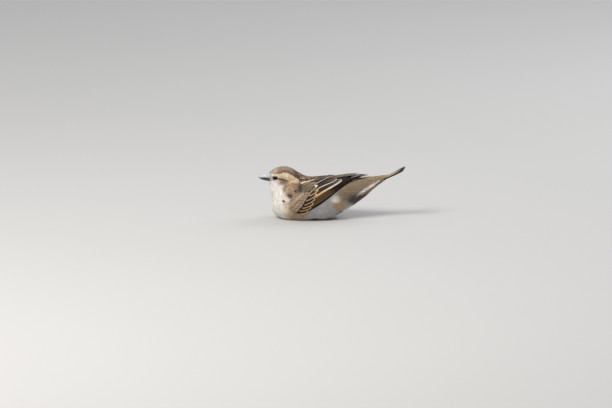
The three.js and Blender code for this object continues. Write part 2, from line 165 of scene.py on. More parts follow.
def smooth_step(value, low, high):
    t = np.clip((value - low) / (high - low), 0.0, 1.0)
    return t * t * (3 - 2 * t)


def unit(vectors):
    return vectors / np.maximum(np.linalg.norm(vectors, axis=-1, keepdims=True), 1e-12)


def laid_flat(ways, normals):
    """The part of each way that runs along the surface, as a unit vector."""
    return unit(ways - normals * (ways * normals).sum(axis=1, keepdims=True))


def vertex_rows(mesh, key):
    """The places or normals of a mesh's vertices, one row each."""
    rows = np.empty(len(mesh.vertices) * 3)
    mesh.vertices.foreach_get(key, rows)
    return rows.reshape(-1, 3)


def move_vertices(piece, points):
    piece.data.vertices.foreach_set("co", (points * MM).ravel())
    piece.data.update()


def select_only(*pieces):
    """Selects some pieces and no others, the first one active."""
    bpy.ops.object.select_all(action="DESELECT")
    for piece in pieces:
        piece.select_set(True)
    bpy.context.view_layer.objects.active = pieces[0]


def solid_copy(name, cad_nodes):
    """One new piece from merged copies of CAD nodes."""
    copies = []
    for node in cad_nodes:
        copy = bpy.data.objects.new(name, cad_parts[node].data.copy())
        bpy.context.scene.collection.objects.link(copy)
        copies.append(copy)
    select_only(*copies)
    if len(copies) > 1:
        bpy.ops.object.join()
    piece = bpy.context.view_layer.objects.active
    piece.data.materials.clear()
    bpy.ops.object.mode_set(mode="EDIT")
    bpy.ops.mesh.select_all(action="SELECT")
    bpy.ops.mesh.remove_doubles(threshold=1e-6)
    bpy.ops.object.mode_set(mode="OBJECT")
    return piece


def apply_modifier(piece, kind, **settings):
    """Adds one modifier with its settings and applies it at once."""
    select_only(piece)
    modifier = piece.modifiers.new(kind, kind)
    for key, value in settings.items():
        setattr(modifier, key, value)
    bpy.ops.object.modifier_apply(modifier=modifier.name)


def make_even(piece, grid, passes):
    """One even mesh round a piece, with its steps rubbed smooth."""
    apply_modifier(piece, "REMESH", mode="VOXEL", voxel_size=grid)
    apply_modifier(piece, "SMOOTH", factor=0.5, iterations=passes)


def one_skin(name, cad_nodes, grid, passes):
    """CAD nodes grown until they meet, made one even mesh, smoothed and drawn back."""
    piece = solid_copy(name, cad_nodes)
    apply_modifier(piece, "DISPLACE", strength=GAP, mid_level=0.0)
    make_even(piece, grid, passes)
    apply_modifier(piece, "DISPLACE", strength=-GAP, mid_level=0.0)
    return piece


class Surface:
    """A finished mesh to lay feathers on, in millimetres: nearest points and normals."""

    def __init__(self, piece):
        mesh = piece.data
        mesh.calc_loop_triangles()
        self.points = vertex_rows(mesh, "co") / MM
        self.normals = vertex_rows(mesh, "normal")
        self.corners = np.empty(len(mesh.loop_triangles) * 3, dtype=np.int32)
        mesh.loop_triangles.foreach_get("vertices", self.corners)
        self.corners = self.corners.reshape(-1, 3)
        self.tree = BVHTree.FromPolygons(self.points.tolist(), self.corners.tolist())

    def nearest(self, points):
        """The nearest places on the surface, with its smooth normals there."""
        shape = points.shape
        flat = points.reshape(-1, 3)
        hits = [self.tree.find_nearest(point) for point in flat.tolist()]
        spots = np.array([tuple(hit[0]) for hit in hits])
        corner = self.corners[np.array([hit[2] for hit in hits])]
        a, b, c = (self.points[corner[:, k]] for k in range(3))
        area = np.linalg.norm(np.cross(b - a, c - a), axis=1) + 1e-12
        share_a = np.linalg.norm(np.cross(b - spots, c - spots), axis=1) / area
        share_b = np.linalg.norm(np.cross(c - spots, a - spots), axis=1) / area
        shares = np.stack([share_a, share_b, 1 - share_a - share_b], axis=1)
        normals = unit((self.normals[corner] * shares[:, :, None]).sum(axis=1))
        return spots.reshape(shape), normals.reshape(shape)

    def lay(self, points, height):
        """Points moved along the normal to stand at a height over the surface."""
        spots, normals = self.nearest(points)
        over = ((points - spots) * normals).sum(axis=-1, keepdims=True)
        return points + normals * (np.asarray(height)[..., None] - over), normals


def form_surface(cad_nodes, grid, passes):
    """The surface of one form made from CAD nodes. The form itself isn't kept."""
    form = one_skin("form", cad_nodes, grid, passes)
    surface = Surface(form)
    bpy.data.objects.remove(form)
    return surface


body = one_skin("skin", FLESH + EYES, GRID, 12)
body_surface = Surface(body)
whole_surface = form_surface(FLESH + EYES + BILL + LEFT_WING + RIGHT_WING, GRID, 24)
wing_surface = form_surface(LEFT_WING, FINE_GRID, 8)

steps = np.linspace(0, len(SPINE_X) - 1, SPINE_STEPS)
knots = np.arange(len(SPINE_X))
spine = np.stack(
    [np.interp(steps, knots, SPINE_X), 0 * steps, np.interp(steps, knots, SPINE_Z)], axis=1
)
spine_way = unit(np.gradient(spine, axis=0))


def lie_of_feathers(points, normals):
    """The way the feathers point on the skin: back along the spine, and down the breast."""
    gap = np.linalg.norm(points[:, None, :] - spine[None], axis=2)
    share = np.exp(-((gap - gap.min(axis=1, keepdims=True)) ** 2) / SPINE_SOFT)
    way = unit((share[:, :, None] * spine_way[None]).sum(axis=1))
    way[:, 1] += 0.12 * np.sign(points[:, 1]) * smooth_step(-points[:, 0], 44, 62)
    on_breast = smooth_step(-normals[:, 0], 0.05, 0.7) * (1 - smooth_step(points[:, 2], 33, 39))
    way[:, 2] -= 1.8 * on_breast
    return laid_flat(way, normals)


def paint(red, green, blue):
    """A colour given out of 255, as the light value that the shader wants."""
    srgb = np.array([red, green, blue]) / 255.0
    return np.where(srgb > 0.04045, ((srgb + 0.055) / 1.055) ** 2.4, srgb / 12.92)


def curve_at(x, points):
    """The value at x of a line through points, such as a height in the side view."""
    xs, values = zip(*points)
    return np.interp(x, xs, values)


def by_line(x, z, points, width, soft):
    """1 on a line of x, z points in the side view, falling to 0 past its width."""
    nearest = np.full(x.shape, 1e9)
    for (x0, z0), (x1, z1) in zip(points, points[1:]):
        run = np.array([x1 - x0, z1 - z0])
        t = np.clip(((x - x0) * run[0] + (z - z0) * run[1]) / (run @ run), 0, 1)
        nearest = np.minimum(nearest, np.hypot(x - x0 - t * run[0], z - z0 - t * run[1]))
    return 1 - smooth_step(nearest, width - soft, width + soft)


def spot(x, z, centre, radii, soft=0.25):
    """1 inside an oval in the side view, falling to 0 past its rim."""
    reach = np.hypot((x - centre[0]) / radii[0], (z - centre[1]) / radii[1])
    return 1 - smooth_step(reach, 1 - soft, 1 + soft)


def streaks(x, z, slope, across, along):
    """Soft uneven streaks, -1 to 1, that run up and back at a slope in the side view."""
    u = z * math.cos(slope) - x * math.sin(slope)
    v = x * math.cos(slope) + z * math.sin(slope)
    wave = np.sin(6.28 * u / across + 1.3 * np.sin(0.9 * v + 0.4))
    wave *= np.cos(3.14 * v / along + 1.1 * np.sin(1.1 * u))
    return 0.6 * wave + 0.4 * np.sin(9.1 * u / across + 2.2 * np.sin(0.53 * v))


def lay_over(colour, tone, mask):
    """Paints a tone over the colours as far as the mask lets it."""
    colour += (tone - colour) * np.clip(mask, 0, 1)[:, None]


# Crown and forehead tones are partly their own colour, partly a painted highlight from above.
CROWN_AND_HIGHLIGHT = paint(164, 141, 120)
FOREHEAD_AND_HIGHLIGHT = paint(196, 175, 156)
CROWN_SIDE = paint(128, 92, 66)
BROW_BUFF = paint(238, 217, 184)
BROW_GOLD = paint(224, 176, 122)
EAR_BROWN = paint(150, 120, 96)
STRIPE_BROWN = paint(96, 68, 50)
LORES = paint(190, 182, 172)
THROAT = paint(232, 226, 218)
BREAST = paint(242, 236, 228)
BREAST_SIDE = paint(214, 190, 156)
SHOULDER = paint(174, 150, 126)
NECK_SIDE = paint(190, 154, 108)
NAPE = paint(88, 64, 50)
MANTLE = paint(150, 118, 88)
FLANK = paint(170, 167, 166)
BELLY = paint(226, 219, 208)
RUMP = paint(138, 118, 90)
LOWER_BACK = paint(128, 114, 98)
# Painted shadow on the underside of vent and tail coverts.
VENT_PAINTED_SHADE = paint(66, 50, 38)
VENT_GOLD = paint(154, 112, 70)
UNDERTAIL = paint(236, 230, 220)
THIGH = paint(174, 140, 100)
# Near black of the parted feathers' gaps: partly dark down, partly painted shade.
DOWN_AND_GAP_SHADE = paint(36, 30, 28)

# Edges and lines of the markings, and the line of painted shadow under the tail, in the side view, as x, z in
# millimetres.
CROWN_EDGE = (
    (-62, 45.6), (-57, 45.6), (-53, 45.8), (-48, 47.6), (-43, 46.8), (-38, 43.6), (-33, 40.2)
)
BROW_EDGE = (
    (-56, 43.6), (-52, 42.0), (-47, 41.4), (-44, 39.8), (-41, 37.8), (-36, 37.4), (-32, 38.5)
)
PALE_FLANK_LINE = ((22, 23.4), (34, 30.8), (41, 35.1))
GOLDEN_LINE = ((30, 25.0), (37, 29.8), (45, 35.0))
PALE_LINE_END = ((38, 33.2), (47, 38.6))
PAINTED_SHADOW_LINE = ((22, 15.5), (32, 23.5), (42, 31.5), (49, 36.6))
# Where ruffled feathers part, with dark spots that are partly the down beneath and partly painted shade in
# the gaps, and where they show pale: centres and radii.
PARTED = (
    ((-42.0, 26.6), (2.8, 2.1)), ((-31.8, 33.4), (2.3, 2.6)), ((-36.4, 31.0), (1.3, 1.6)),
    ((-48.6, 20.6), (1.2, 1.2)), ((-31.5, 37.0), (1.7, 1.4)),
)
PALE_TUFTS = (((-38.4, 29.6), (2.1, 1.4)), ((-37.4, 24.0), (2.2, 1.3)), ((-43.6, 22.0), (3.6, 1.4)))


def markings(points):
    """The body colour of the plumage anywhere on the bird, from its zones, with painted shade and painted
    highlights in places.
    """
    x, y, z = points[:, 0], np.abs(points[:, 1]), points[:, 2]
    colour = np.repeat(BREAST[None], len(points), axis=0)

    def lay_on(tone, mask):
        lay_over(colour, tone, mask)

    # Breast, flanks and belly.
    lay_on(BREAST_SIDE, smooth_step(x, -50.5, -43) * smooth_step(y, 9, 16))
    lay_on(SHOULDER, smooth_step(x, -45, -41) * smooth_step(y, 11, 16) * (1 - smooth_step(z, 24, 29)))
    lay_on(FLANK, smooth_step(x, -30, -20) * smooth_step(y, 5, 12))
    below = 1 - smooth_step(z, 4, 16)
    lay_on(BELLY, smooth_step(x, -44, -30) * (1 - smooth_step(y, 6, 13)) * below)

    # Rump and lower back, then vent and undertail with their golden and pale lines, and painted shadow: a
    # dark patch and a dark line along the underside.
    over_spine = z - np.interp(x, SPINE_X, SPINE_Z)
    rear = smooth_step(x, 4, 14)
    lay_on(RUMP, smooth_step(x, 0, 9) * smooth_step(z - 0.45 * x, 11, 19))
    lay_on(LOWER_BACK, smooth_step(x, -10, -2) * (1 - smooth_step(x, 20, 30)) * smooth_step(z, 36, 39.5))
    lay_on(RUMP, smooth_step(x, 30, 38) * smooth_step(over_spine, -1.5, 0.5))
    # Painted shadow under the vent, where the underside is turned from the light, and along the lower edge.
    lay_on(VENT_PAINTED_SHADE, rear * spot(x, z, (27, 21), (13, 6), 0.5) * smooth_step(y, 2, 5))
    lay_on(UNDERTAIL, rear * (1 - smooth_step(y, 3.5, 6.5)) * (1 - smooth_step(over_spine, -7, -2.5)))
    lay_on(VENT_PAINTED_SHADE, 0.8 * by_line(x, z, PAINTED_SHADOW_LINE, 2.2, 1.6) * smooth_step(y, 1.5, 3.5))
    lay_on(VENT_GOLD, 0.9 * by_line(x, z, GOLDEN_LINE, 1.0, 0.8) * smooth_step(y, 2.5, 5))
    pale_line = by_line(x, z, PALE_FLANK_LINE, 1.3, 0.8) * smooth_step(x, 22, 31)
    lay_on(UNDERTAIL, pale_line * smooth_step(y, 2.5, 5))
    lay_on(UNDERTAIL, 0.8 * by_line(x, z, PALE_LINE_END, 0.6, 0.6) * smooth_step(y, 2.0, 4))
    lay_on(THIGH, 0.85 * spot(x, z, (7, 16), (7, 5.6), 0.45) * smooth_step(y, 8, 12))
    lay_on(BELLY, 0.8 * spot(x, z, (3.6, 22.4), (4.6, 3.2), 0.5) * smooth_step(y, 8, 12))

    behind = smooth_step(x, 2, 12) * smooth_step(y, 3, 6) * smooth_step(z - 0.45 * x, 9, 15)
    colour *= (1 + 0.20 * behind * streaks(x, z, 0.62, 2.6, 11.0))[:, None] ** (1.0, 1.0, 1.25)

    # The mantle's ground and the ruffled side of the neck.
    back = smooth_step(z, 35.0, 38.5) * smooth_step(x, -36, -31)
    lay_on(MANTLE, back * (1 - smooth_step(x, -12, 2)))
    lay_on(NECK_SIDE, smooth_step(x, -48, -44.5) * smooth_step(z, 25, 29) * (1 - smooth_step(x, -33, -30)))
    lay_on(BREAST_SIDE, 0.6 * by_line(x, z, ((-44, 33), (-40, 24)), 2.4, 1.6))
    lay_on(STRIPE_BROWN, 0.8 * by_line(x, z, ((-45.4, 36.0), (-48.6, 29.2)), 0.7, 0.6))
    ruffled = smooth_step(x, -49, -45) * (1 - smooth_step(x, -30, -26)) * smooth_step(y, 9, 13)
    colour *= (1 + 0.42 * ruffled * streaks(x, z, 0.75, 3.4, 9.0))[:, None] ** (0.8, 1.0, 1.3)
    for centre, radii in PALE_TUFTS:
        lay_on(BREAST, 0.8 * spot(x, z, centre, radii, 0.5) * smooth_step(y, 8, 12))
    # Dark spots where the feathers part: the down there, deepened as painted shade.
    for centre, radii in PARTED:
        lay_on(DOWN_AND_GAP_SHADE, 0.95 * spot(x, z, centre, radii, 0.3) * smooth_step(y, 8, 12))

    # Throat, lores, cheek and brow, and the stripe behind the eye.
    head = smooth_step(z - 0.25 * x, 46.5, 49.0) * (1 - smooth_step(x, -36, -31))
    lay_on(THROAT, head)
    lay_on(LORES, head * spot(x, z, (-61, 41.2), (3.4, 2.6), 0.4))
    lay_on(EAR_BROWN, head * spot(x, z, (-47.2, 37.6), (5.8, 4.4), 0.55))
    lay_on(EAR_BROWN, 0.55 * spot(x, z, (-46.2, 33.6), (3.4, 5.0), 0.6) * smooth_step(y, 6, 9))
    lay_on(NECK_SIDE, head * smooth_step(x, -44.5, -41) * (1 - smooth_step(z, 37, 39)))
    edge_of_crown = curve_at(x, CROWN_EDGE)
    edge_of_brow = curve_at(x, BROW_EDGE)
    brow = smooth_step(z - edge_of_brow, -0.4, 0.5) * smooth_step(x, -55.6, -53.4)
    lay_on(BROW_BUFF, brow * (1 - smooth_step(x, -37.5, -31.5)))
    lay_on(BROW_GOLD, 0.45 * brow * spot(x, z, (-39.5, 39.6), (3.6, 2.2), 0.6))
    # A painted highlight on the brow, in the breast's pale tone.
    lay_on(BREAST, 0.6 * brow * spot(x, z, (-46.5, 44.4), (3.6, 1.5), 0.6))
    lay_on(BROW_BUFF, 0.6 * by_line(x, z, ((-60, 44.6), (-54, 45.0)), 0.7, 0.6))
    lay_on(BROW_GOLD, 0.75 * by_line(x, z, ((-54, 43.8), (-50.5, 43.4), (-47.5, 42.6)), 0.9, 0.8) * (y > 4))
    lay_on(STRIPE_BROWN, by_line(x, z, ((-53.6, 41.2), (-50, 40.8), (-46.5, 40.1)), 0.85, 0.5))

    # Crown, forehead and nape. The crown's top and the forehead are painted paler: partly their own tone,
    # partly a painted highlight from the light above.
    crown = smooth_step(z - edge_of_crown, -0.5, 0.6) * smooth_step(x, -63.5, -61)
    top_of_head = crown * (1 - smooth_step(x, -24, -20))
    lay_on(CROWN_AND_HIGHLIGHT, top_of_head)
    side_of_crown = (1 - smooth_step(z - edge_of_crown, 1.2, 3.4)) * smooth_step(x, -58, -53)
    lay_on(CROWN_SIDE, top_of_head * side_of_crown)
    lay_on(FOREHEAD_AND_HIGHLIGHT, 0.8 * top_of_head * (1 - smooth_step(x, -58, -52.5)))
    nape = smooth_step(x, -41.5, -35) * (1 - smooth_step(x, -27, -20))
    lay_on(NAPE, nape * smooth_step(z - edge_of_crown, -0.6, 0.8))
    return colour


body_points, body_x = body_surface.points, body_surface.points[:, 0]
depth = 0.4 + 0.3 * smooth_step(body_x, -62, -50) + 0.4 * smooth_step(body_x, -46, -34)
depth *= 1 - 0.55 * smooth_step(body_x, 34, 50)
move_vertices(body, body_points - body_surface.normals * depth[:, None])
ground = body.data.color_attributes.new("body", "FLOAT_COLOR", "POINT")
ground.data.foreach_set("color", np.c_[markings(body_points), np.ones(len(body_points))].ravel())


def attribute(tree, name, output="Color"):
    """What the piece's mesh holds under a name."""
    node = tree.nodes.new("ShaderNodeAttribute")
    node.attribute_name = name
    return node.outputs[output]


def own_place(tree):
    """Where a point of the piece lies, in metres."""
    return tree.nodes.new("ShaderNodeTexCoord").outputs["Object"]


def noise(tree, scale, detail=3.0, place=None):
    """Noise fixed to the piece, 0 to 1. The scale is its patches to the metre."""
    node = tree.nodes.new("ShaderNodeTexNoise")
    node.inputs["Scale"].default_value = scale
    node.inputs["Detail"].default_value = detail
    feed(tree, node.inputs["Vector"], own_place(tree) if place is None else place)
    return node.outputs["Fac"]


def ramp_of(tree, value, low, high):
    """A value's smooth rise from 0 at low to 1 at high."""
    node = tree.nodes.new("ShaderNodeMapRange")
    node.interpolation_type = "SMOOTHSTEP"
    for name, given in (("Value", value), ("From Min", low), ("From Max", high)):
        feed(tree, node.inputs[name], given)
    return node.outputs["Result"]


def bumped(tree, shader, height, strength, depth):
    """Gives a shader a bump by height, whose depth is in millimetres."""
    bump = tree.nodes.new("ShaderNodeBump")
    bump.inputs["Strength"].default_value = strength
    bump.inputs["Distance"].default_value = depth * MM
    feed(tree, bump.inputs["Height"], height)
    feed(tree, shader.inputs["Normal"], bump.outputs["Normal"])


material, tree, shader = new_material("Downy skin", 0.85)
tufts = ramp_of(tree, noise(tree, 900.0), 0.3, 0.7)
down = mixed(tree, tufts, (0.74, 0.72, 0.70, 1.0), (0.96, 0.95, 0.94, 1.0))
feed(tree, shader.inputs["Base Color"], mixed(tree, 1.0, attribute(tree, "body"), down, "MULTIPLY"))
bumped(tree, shader, noise(tree, 2500.0), 0.5, 0.2)
body.data.materials.append(material)
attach(body, "root")
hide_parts(*FLESH)

# ---- The small feathers --------------------------------------------------------------------
# Some thousands of contour feathers cover head, breast, back, flanks and belly like tiles.
# Each is a cupped vane whose barbs leave the shaft and end in separate points. Its root is in
# the skin and its tip lies over the next ones; they are tiny on the face and broad behind.

SOFTNESS = 0.6  # how far a small feather takes the body's normal in place of its own
CUP = 0.03  # how far a vane's sides curl down, as a share of its half width
SHAFT_STEPS = 3
UNWRAP_SIZE = 0.003  # a small feather in the coat's unwrap
CELL = 3.0  # of the grid that finds the roots near a new one, in millimetres
NEAR_CELLS = tuple(itertools.product((-1, 0, 1), repeat=3))
LAYERS = ("body", "core", "edge")  # the three colours of every feather
SIDES = (("left", False), ("right", True))  # the right side's feathers are mirrored
rng = np.random.default_rng(1871)


def fan_vane(spikes, notch=0.66, fan=118):
    """A small feather as a fan of barbs: along and across for each vertex, with its faces.

    Notch is how far out the barbs part, and fan is how far round from the tip they end to each
    side, in degrees. The first vertices lie on the shaft, and the next where the barbs part.
    Then come the points that they end in, and one vertex underneath closes the feather."""
    half = spikes / 2
    sweep = (np.arange(spikes + 1) - half) / half
    points = (sweep[1:] + sweep[:-1]) / 2

    def end(turn, reach):
        return 0.40 + 0.60 * np.cos(turn) * reach, np.sin(turn) * (0.3 + 0.7 * reach)

    shaft_along = 0.03 + 0.52 * (1 - np.abs(sweep)) ** 1.2
    parting_along, parting_across = end(sweep * math.radians(fan), notch)
    tip_along, tip_across = end(points * math.radians(fan) * 0.86, 1.0)
    parting, tip = spikes + 1, 2 * (spikes + 1)
    under = tip + spikes
    faces = []
    rim = [0]
    for i in range(spikes):
        faces += [(i, parting + i + 1, i + 1), (i, parting + i, parting + i + 1)]
        rim += [parting + i, tip + i]
    faces += [(parting + i, tip + i, parting + i + 1) for i in range(spikes)]
    top_faces = len(faces)
    rim += [parting + spikes, *range(spikes, 0, -1)]
    faces += [(here, under, after) for here, after in zip(rim, rim[1:] + rim[:1])]
    on_shaft = np.zeros(spikes + 1)
    return {
        "along": np.concatenate([shaft_along, parting_along, tip_along, [0.45]]),
        "across": np.concatenate([on_shaft, parting_across, tip_across, [0.0]]),
        "rim": np.concatenate([on_shaft, on_shaft + 0.75, np.ones(spikes), [0.4]]),
        "barb": np.concatenate([sweep, sweep, points, [0.0]]),
        "faces": np.array(faces),
        "smooth": np.arange(len(faces)) < top_faces,
    }


FAN = fan_vane(10)
FINE_FAN = fan_vane(8, 0.72)
LOCK = fan_vane(3, 0.6, 50)


def pick_roots(surface, tries, spacing, keep):
    """Evenly scattered roots on a surface. Spacing is one gap, or gives it for each place."""
    a, b, c = (surface.points[surface.corners[:, k]] for k in range(3))
    area = np.linalg.norm(np.cross(b - a, c - a), axis=1)
    triangle = rng.choice(len(area), tries, p=area / area.sum())
    u, v = rng.random(tries), rng.random(tries)
    flip = u + v > 1
    u[flip], v[flip] = 1 - u[flip], 1 - v[flip]
    points = a[triangle] + u[:, None] * (b - a)[triangle] + v[:, None] * (c - a)[triangle]
    points = points[keep(points)]
    gaps = spacing(points) if callable(spacing) else np.full(len(points), spacing)
    taken = {}
    chosen = []
    for i, (point, gap) in enumerate(zip(points.tolist(), gaps.tolist())):
        cell = tuple(int(q // CELL) for q in point)
        near = (taken.get(tuple(map(sum, zip(cell, step))), ()) for step in NEAR_CELLS)
        if all(math.dist(point, other) >= gap for others in near for other in others):
            taken.setdefault(cell, []).append(point)
            chosen.append(i)
    return points[chosen], gaps[chosen]


def run_shafts(surface, roots, ways, lengths):
    """Each shaft as points stepped along the surface from its root, and its way at each."""
    points, normals = surface.nearest(roots)
    ways = laid_flat(ways, normals)
    shafts, directions = [points], [ways]
    for _ in range(SHAFT_STEPS):
        points, normals = surface.nearest(points + ways * (lengths / SHAFT_STEPS)[:, None])
        ways = laid_flat(ways, normals)
        shafts.append(points)
        directions.append(ways)
    return np.stack(shafts, axis=1), np.stack(directions, axis=1)


def unwrap_of_skin(points):
    """A place on the skin as turn round the spine and share of the way along it, 0 to 1."""
    gap = np.linalg.norm(points[:, None, :] - spine[None], axis=2)
    index = gap.argmin(axis=1)
    out = points - spine[index]
    turn = np.arctan2(out[:, 1], out[:, 2] * spine_way[index, 0] - out[:, 0] * spine_way[index, 2])
    along = index + ((out * spine_way[index]).sum(axis=1) / 2.0).clip(-0.5, 0.5)
    return np.stack([0.5 + turn / (2 * math.pi), along / (len(spine) - 1)], axis=1)


def spread(places):
    """Places in the unwrap stretched to fill the unit square of their own map."""
    low, high = places.min(axis=0), places.max(axis=0)
    return 0.02 + 0.96 * (places - low) / np.maximum(high - low, 1e-6)


def feather_piece(name, vanes, material, mirrored):
    """One piece of many feathers: vanes holds its points, faces, maps, colours and bands.

    Where it has a lie, the body's own normals, the feathers' upper faces share them, so that
    neighbours run together softly."""
    side = (1, -1, 1) if mirrored else (1, 1, 1)
    points = vanes["points"] * side
    faces = vanes["faces"][:, ::-1] if mirrored else vanes["faces"]
    mesh = bpy.data.meshes.new(name)
    mesh.vertices.add(len(points))
    mesh.vertices.foreach_set("co", (points * MM).astype(np.float32).ravel())
    mesh.loops.add(faces.size)
    mesh.loops.foreach_set("vertex_index", faces.astype(np.int32).ravel())
    mesh.polygons.add(len(faces))
    mesh.polygons.foreach_set("loop_start", np.arange(0, faces.size, 3, dtype=np.int32))
    mesh.update(calc_edges=True)
    corner = faces.ravel()
    for title, key in (("OFBake", "bake"), ("Vane", "uv")):
        layer = mesh.uv_layers.new(name=title)
        layer.uv.foreach_set("vector", vanes[key][corner].astype(np.float32).ravel())
    for title in LAYERS:
        layer = mesh.color_attributes.new(title, "FLOAT_COLOR", "POINT")
        tones = np.c_[vanes[title], np.ones(len(points))]
        layer.data.foreach_set("color", tones.astype(np.float32).ravel())
    layer = mesh.attributes.new("bands", "FLOAT_VECTOR", "POINT")
    layer.data.foreach_set("vector", vanes["bands"].astype(np.float32).ravel())
    mesh.polygons.foreach_set("use_smooth", vanes["smooth"])
    mesh.validate()
    if "lie" in vanes:
        soft = unit(SOFTNESS * vanes["lie"] * side + (1 - SOFTNESS) * vertex_rows(mesh, "normal"))[corner]
        soft[~np.repeat(vanes["smooth"], 3)] = 0.0
        mesh.normals_split_custom_set(soft.tolist())
    piece = bpy.data.objects.new(name, mesh)
    bpy.context.scene.collection.objects.link(piece)
    mesh.materials.append(material)
    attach(piece, "root")
    return piece


def small_feathers(name, surface, roots, ways, lengths, half_widths, tones, sink, proud, vane,
                   mirrored=False):
    """Lays a fan vane at each root, which sinks in the skin while its tip stands proud.

    Tones hold body, core and edge colours, and how far out core and body end."""
    shafts, directions = run_shafts(surface, roots, ways, lengths)
    count, each = len(roots), len(vane["along"])
    position = np.clip(vane["along"], 0, 1) * SHAFT_STEPS
    low = np.minimum(position.astype(int), SHAFT_STEPS - 1)
    share = (position - low)[None, :, None]
    spots = shafts[:, low] * (1 - share) + shafts[:, low + 1] * share
    along = unit(directions[:, low] * (1 - share) + directions[:, low + 1] * share)
    _, normals = surface.nearest(spots)
    across = np.cross(normals, along)
    wide = vane["across"][None, :] * half_widths[:, None]
    at_tip = vane["rim"] > 0.99
    wobble = 1 + 0.09 * rng.standard_normal((count, each)) * at_tip
    stretch = 0.045 * rng.standard_normal((count, each)) * at_tip * lengths[:, None]
    points = spots + across * (wide * wobble)[:, :, None] + along * stretch[:, :, None]
    lift = np.clip(vane["along"], 0, 1)[None, :]
    face = 0.6 * (1 - smooth_step(roots[:, :1], -62.5, -60.5))
    height = proud * lift - (sink + face) * (1 - smooth_step(lift, 0.0, 0.45))
    height = height - CUP * (vane["across"][None, :] ** 2) * half_widths[:, None]
    height = height + 0.03 * rng.standard_normal((count, 1)) * lift
    height[:, -1] -= 0.22 + 0.06 * lengths
    points, lie = surface.lay(points, height)
    base = np.arange(count)[:, None, None] * each
    patch = np.stack([vane["across"] * 0.5, vane["along"] - 0.5], axis=1) * UNWRAP_SIZE
    uv = np.stack([0.5 + 0.5 * vane["barb"], vane["rim"]], axis=1)
    bands = np.c_[np.tile(tones["bands"], (count, 1)), rng.random(count)]
    vanes = {
        "points": points.reshape(-1, 3),
        "faces": (vane["faces"][None] + base).reshape(-1, 3),
        "smooth": np.tile(vane["smooth"], count),
        "lie": lie.reshape(-1, 3),
        "uv": np.tile(uv, (count, 1)),
        "bake": (spread(unwrap_of_skin(roots))[:, None, :] + patch[None]).reshape(-1, 2),
        "bands": np.repeat(bands, each, axis=0),
    }
    vanes |= {layer: np.repeat(tones[layer], each, axis=0) for layer in LAYERS}
    return feather_piece(name, vanes, SOFT_VANE, mirrored)


def maths(tree, operation, *values):
    """The result of one step of arithmetic on sockets or constants."""
    node = tree.nodes.new("ShaderNodeMath")
    node.operation = operation
    for socket, value in zip(node.inputs, values):
        feed(tree, socket, value)
    return node.outputs["Value"]


def split_up(tree, vector):
    """The X, Y and Z of a vector."""
    node = tree.nodes.new("ShaderNodeSeparateXYZ")
    feed(tree, node.inputs["Vector"], vector)
    return tuple(node.outputs)


def barbed_vane():
    """The node group of every feather: dark centre, ground, pale edge, and lines of barbs."""
    tree = bpy.data.node_groups.new("Barbed vane", "ShaderNodeTree")
    for name in ("Barbs", "Mottle", "Ragged", "Soft"):
        tree.interface.new_socket(name, in_out="INPUT", socket_type="NodeSocketFloat")
    for name, kind in (("Color", "Color"), ("Height", "Float"), ("Roughness", "Float")):
        tree.interface.new_socket(name, in_out="OUTPUT", socket_type=f"NodeSocket{kind}")
    given = tree.nodes.new("NodeGroupInput").outputs
    out = tree.nodes.new("NodeGroupOutput").inputs
    vane_map = tree.nodes.new("ShaderNodeUVMap")
    vane_map.uv_map = "Vane"
    barb, outward, _ = split_up(tree, vane_map.outputs["UV"])
    core_at, edge_at, chance = split_up(tree, attribute(tree, "bands", "Vector"))

    # The dark centre ends in the ground, and the ground in the fringe, each by a ragged line.
    uneven = maths(tree, "SUBTRACT", noise(tree, 1400.0), 0.5)
    reach = maths(tree, "ADD", outward, maths(tree, "MULTIPLY", uneven, given["Ragged"]))
    low, high = maths(tree, "SUBTRACT", core_at, 0.10), maths(tree, "ADD", core_at, 0.06)
    past_core = ramp_of(tree, reach, low, high)
    low, high = maths(tree, "SUBTRACT", edge_at, given["Soft"]), maths(tree, "ADD", edge_at, given["Soft"])
    past_body = ramp_of(tree, reach, low, high)
    tone = mixed(tree, past_core, attribute(tree, "core"), attribute(tree, "body"))
    tone = mixed(tree, past_body, tone, attribute(tree, "edge"))

    # Fine dark lines between the barbs, waved a little.
    line = maths(tree, "MULTIPLY", barb, given["Barbs"])
    line = maths(tree, "ADD", line, maths(tree, "MULTIPLY", noise(tree, 500.0), 1.5))
    wave = maths(tree, "SINE", maths(tree, "MULTIPLY", line, 2 * math.pi))
    barbs = maths(tree, "MULTIPLY_ADD", wave, 0.5, 0.5)

    # Wear in soft patches, a tone of each feather's own, and the barbs themselves. Each vane is darker at its
    # root and paler at its end: partly its pale fringe, partly painted shade where the next feathers overlap
    # it.
    patchy = ramp_of(tree, noise(tree, 260.0, 4.0), 0.25, 0.75)
    shade = maths(tree, "MULTIPLY_ADD", maths(tree, "SUBTRACT", patchy, 0.5), given["Mottle"], 1.0)
    for value, middle, strength in ((chance, 0.5, 0.11), (outward, 0.6, 0.16), (barbs, 0.5, 0.14)):
        shade = maths(tree, "MULTIPLY_ADD", maths(tree, "SUBTRACT", value, middle), strength, shade)
    grey = tree.nodes.new("ShaderNodeCombineXYZ")
    for socket in grey.inputs:
        feed(tree, socket, shade)
    feed(tree, out["Color"], mixed(tree, 1.0, tone, grey.outputs["Vector"], "MULTIPLY"))
    feed(tree, out["Height"], barbs)
    feed(tree, out["Roughness"], maths(tree, "MULTIPLY_ADD", barbs, 0.12, 0.55))
    return tree


VANE_GROUP = barbed_vane()


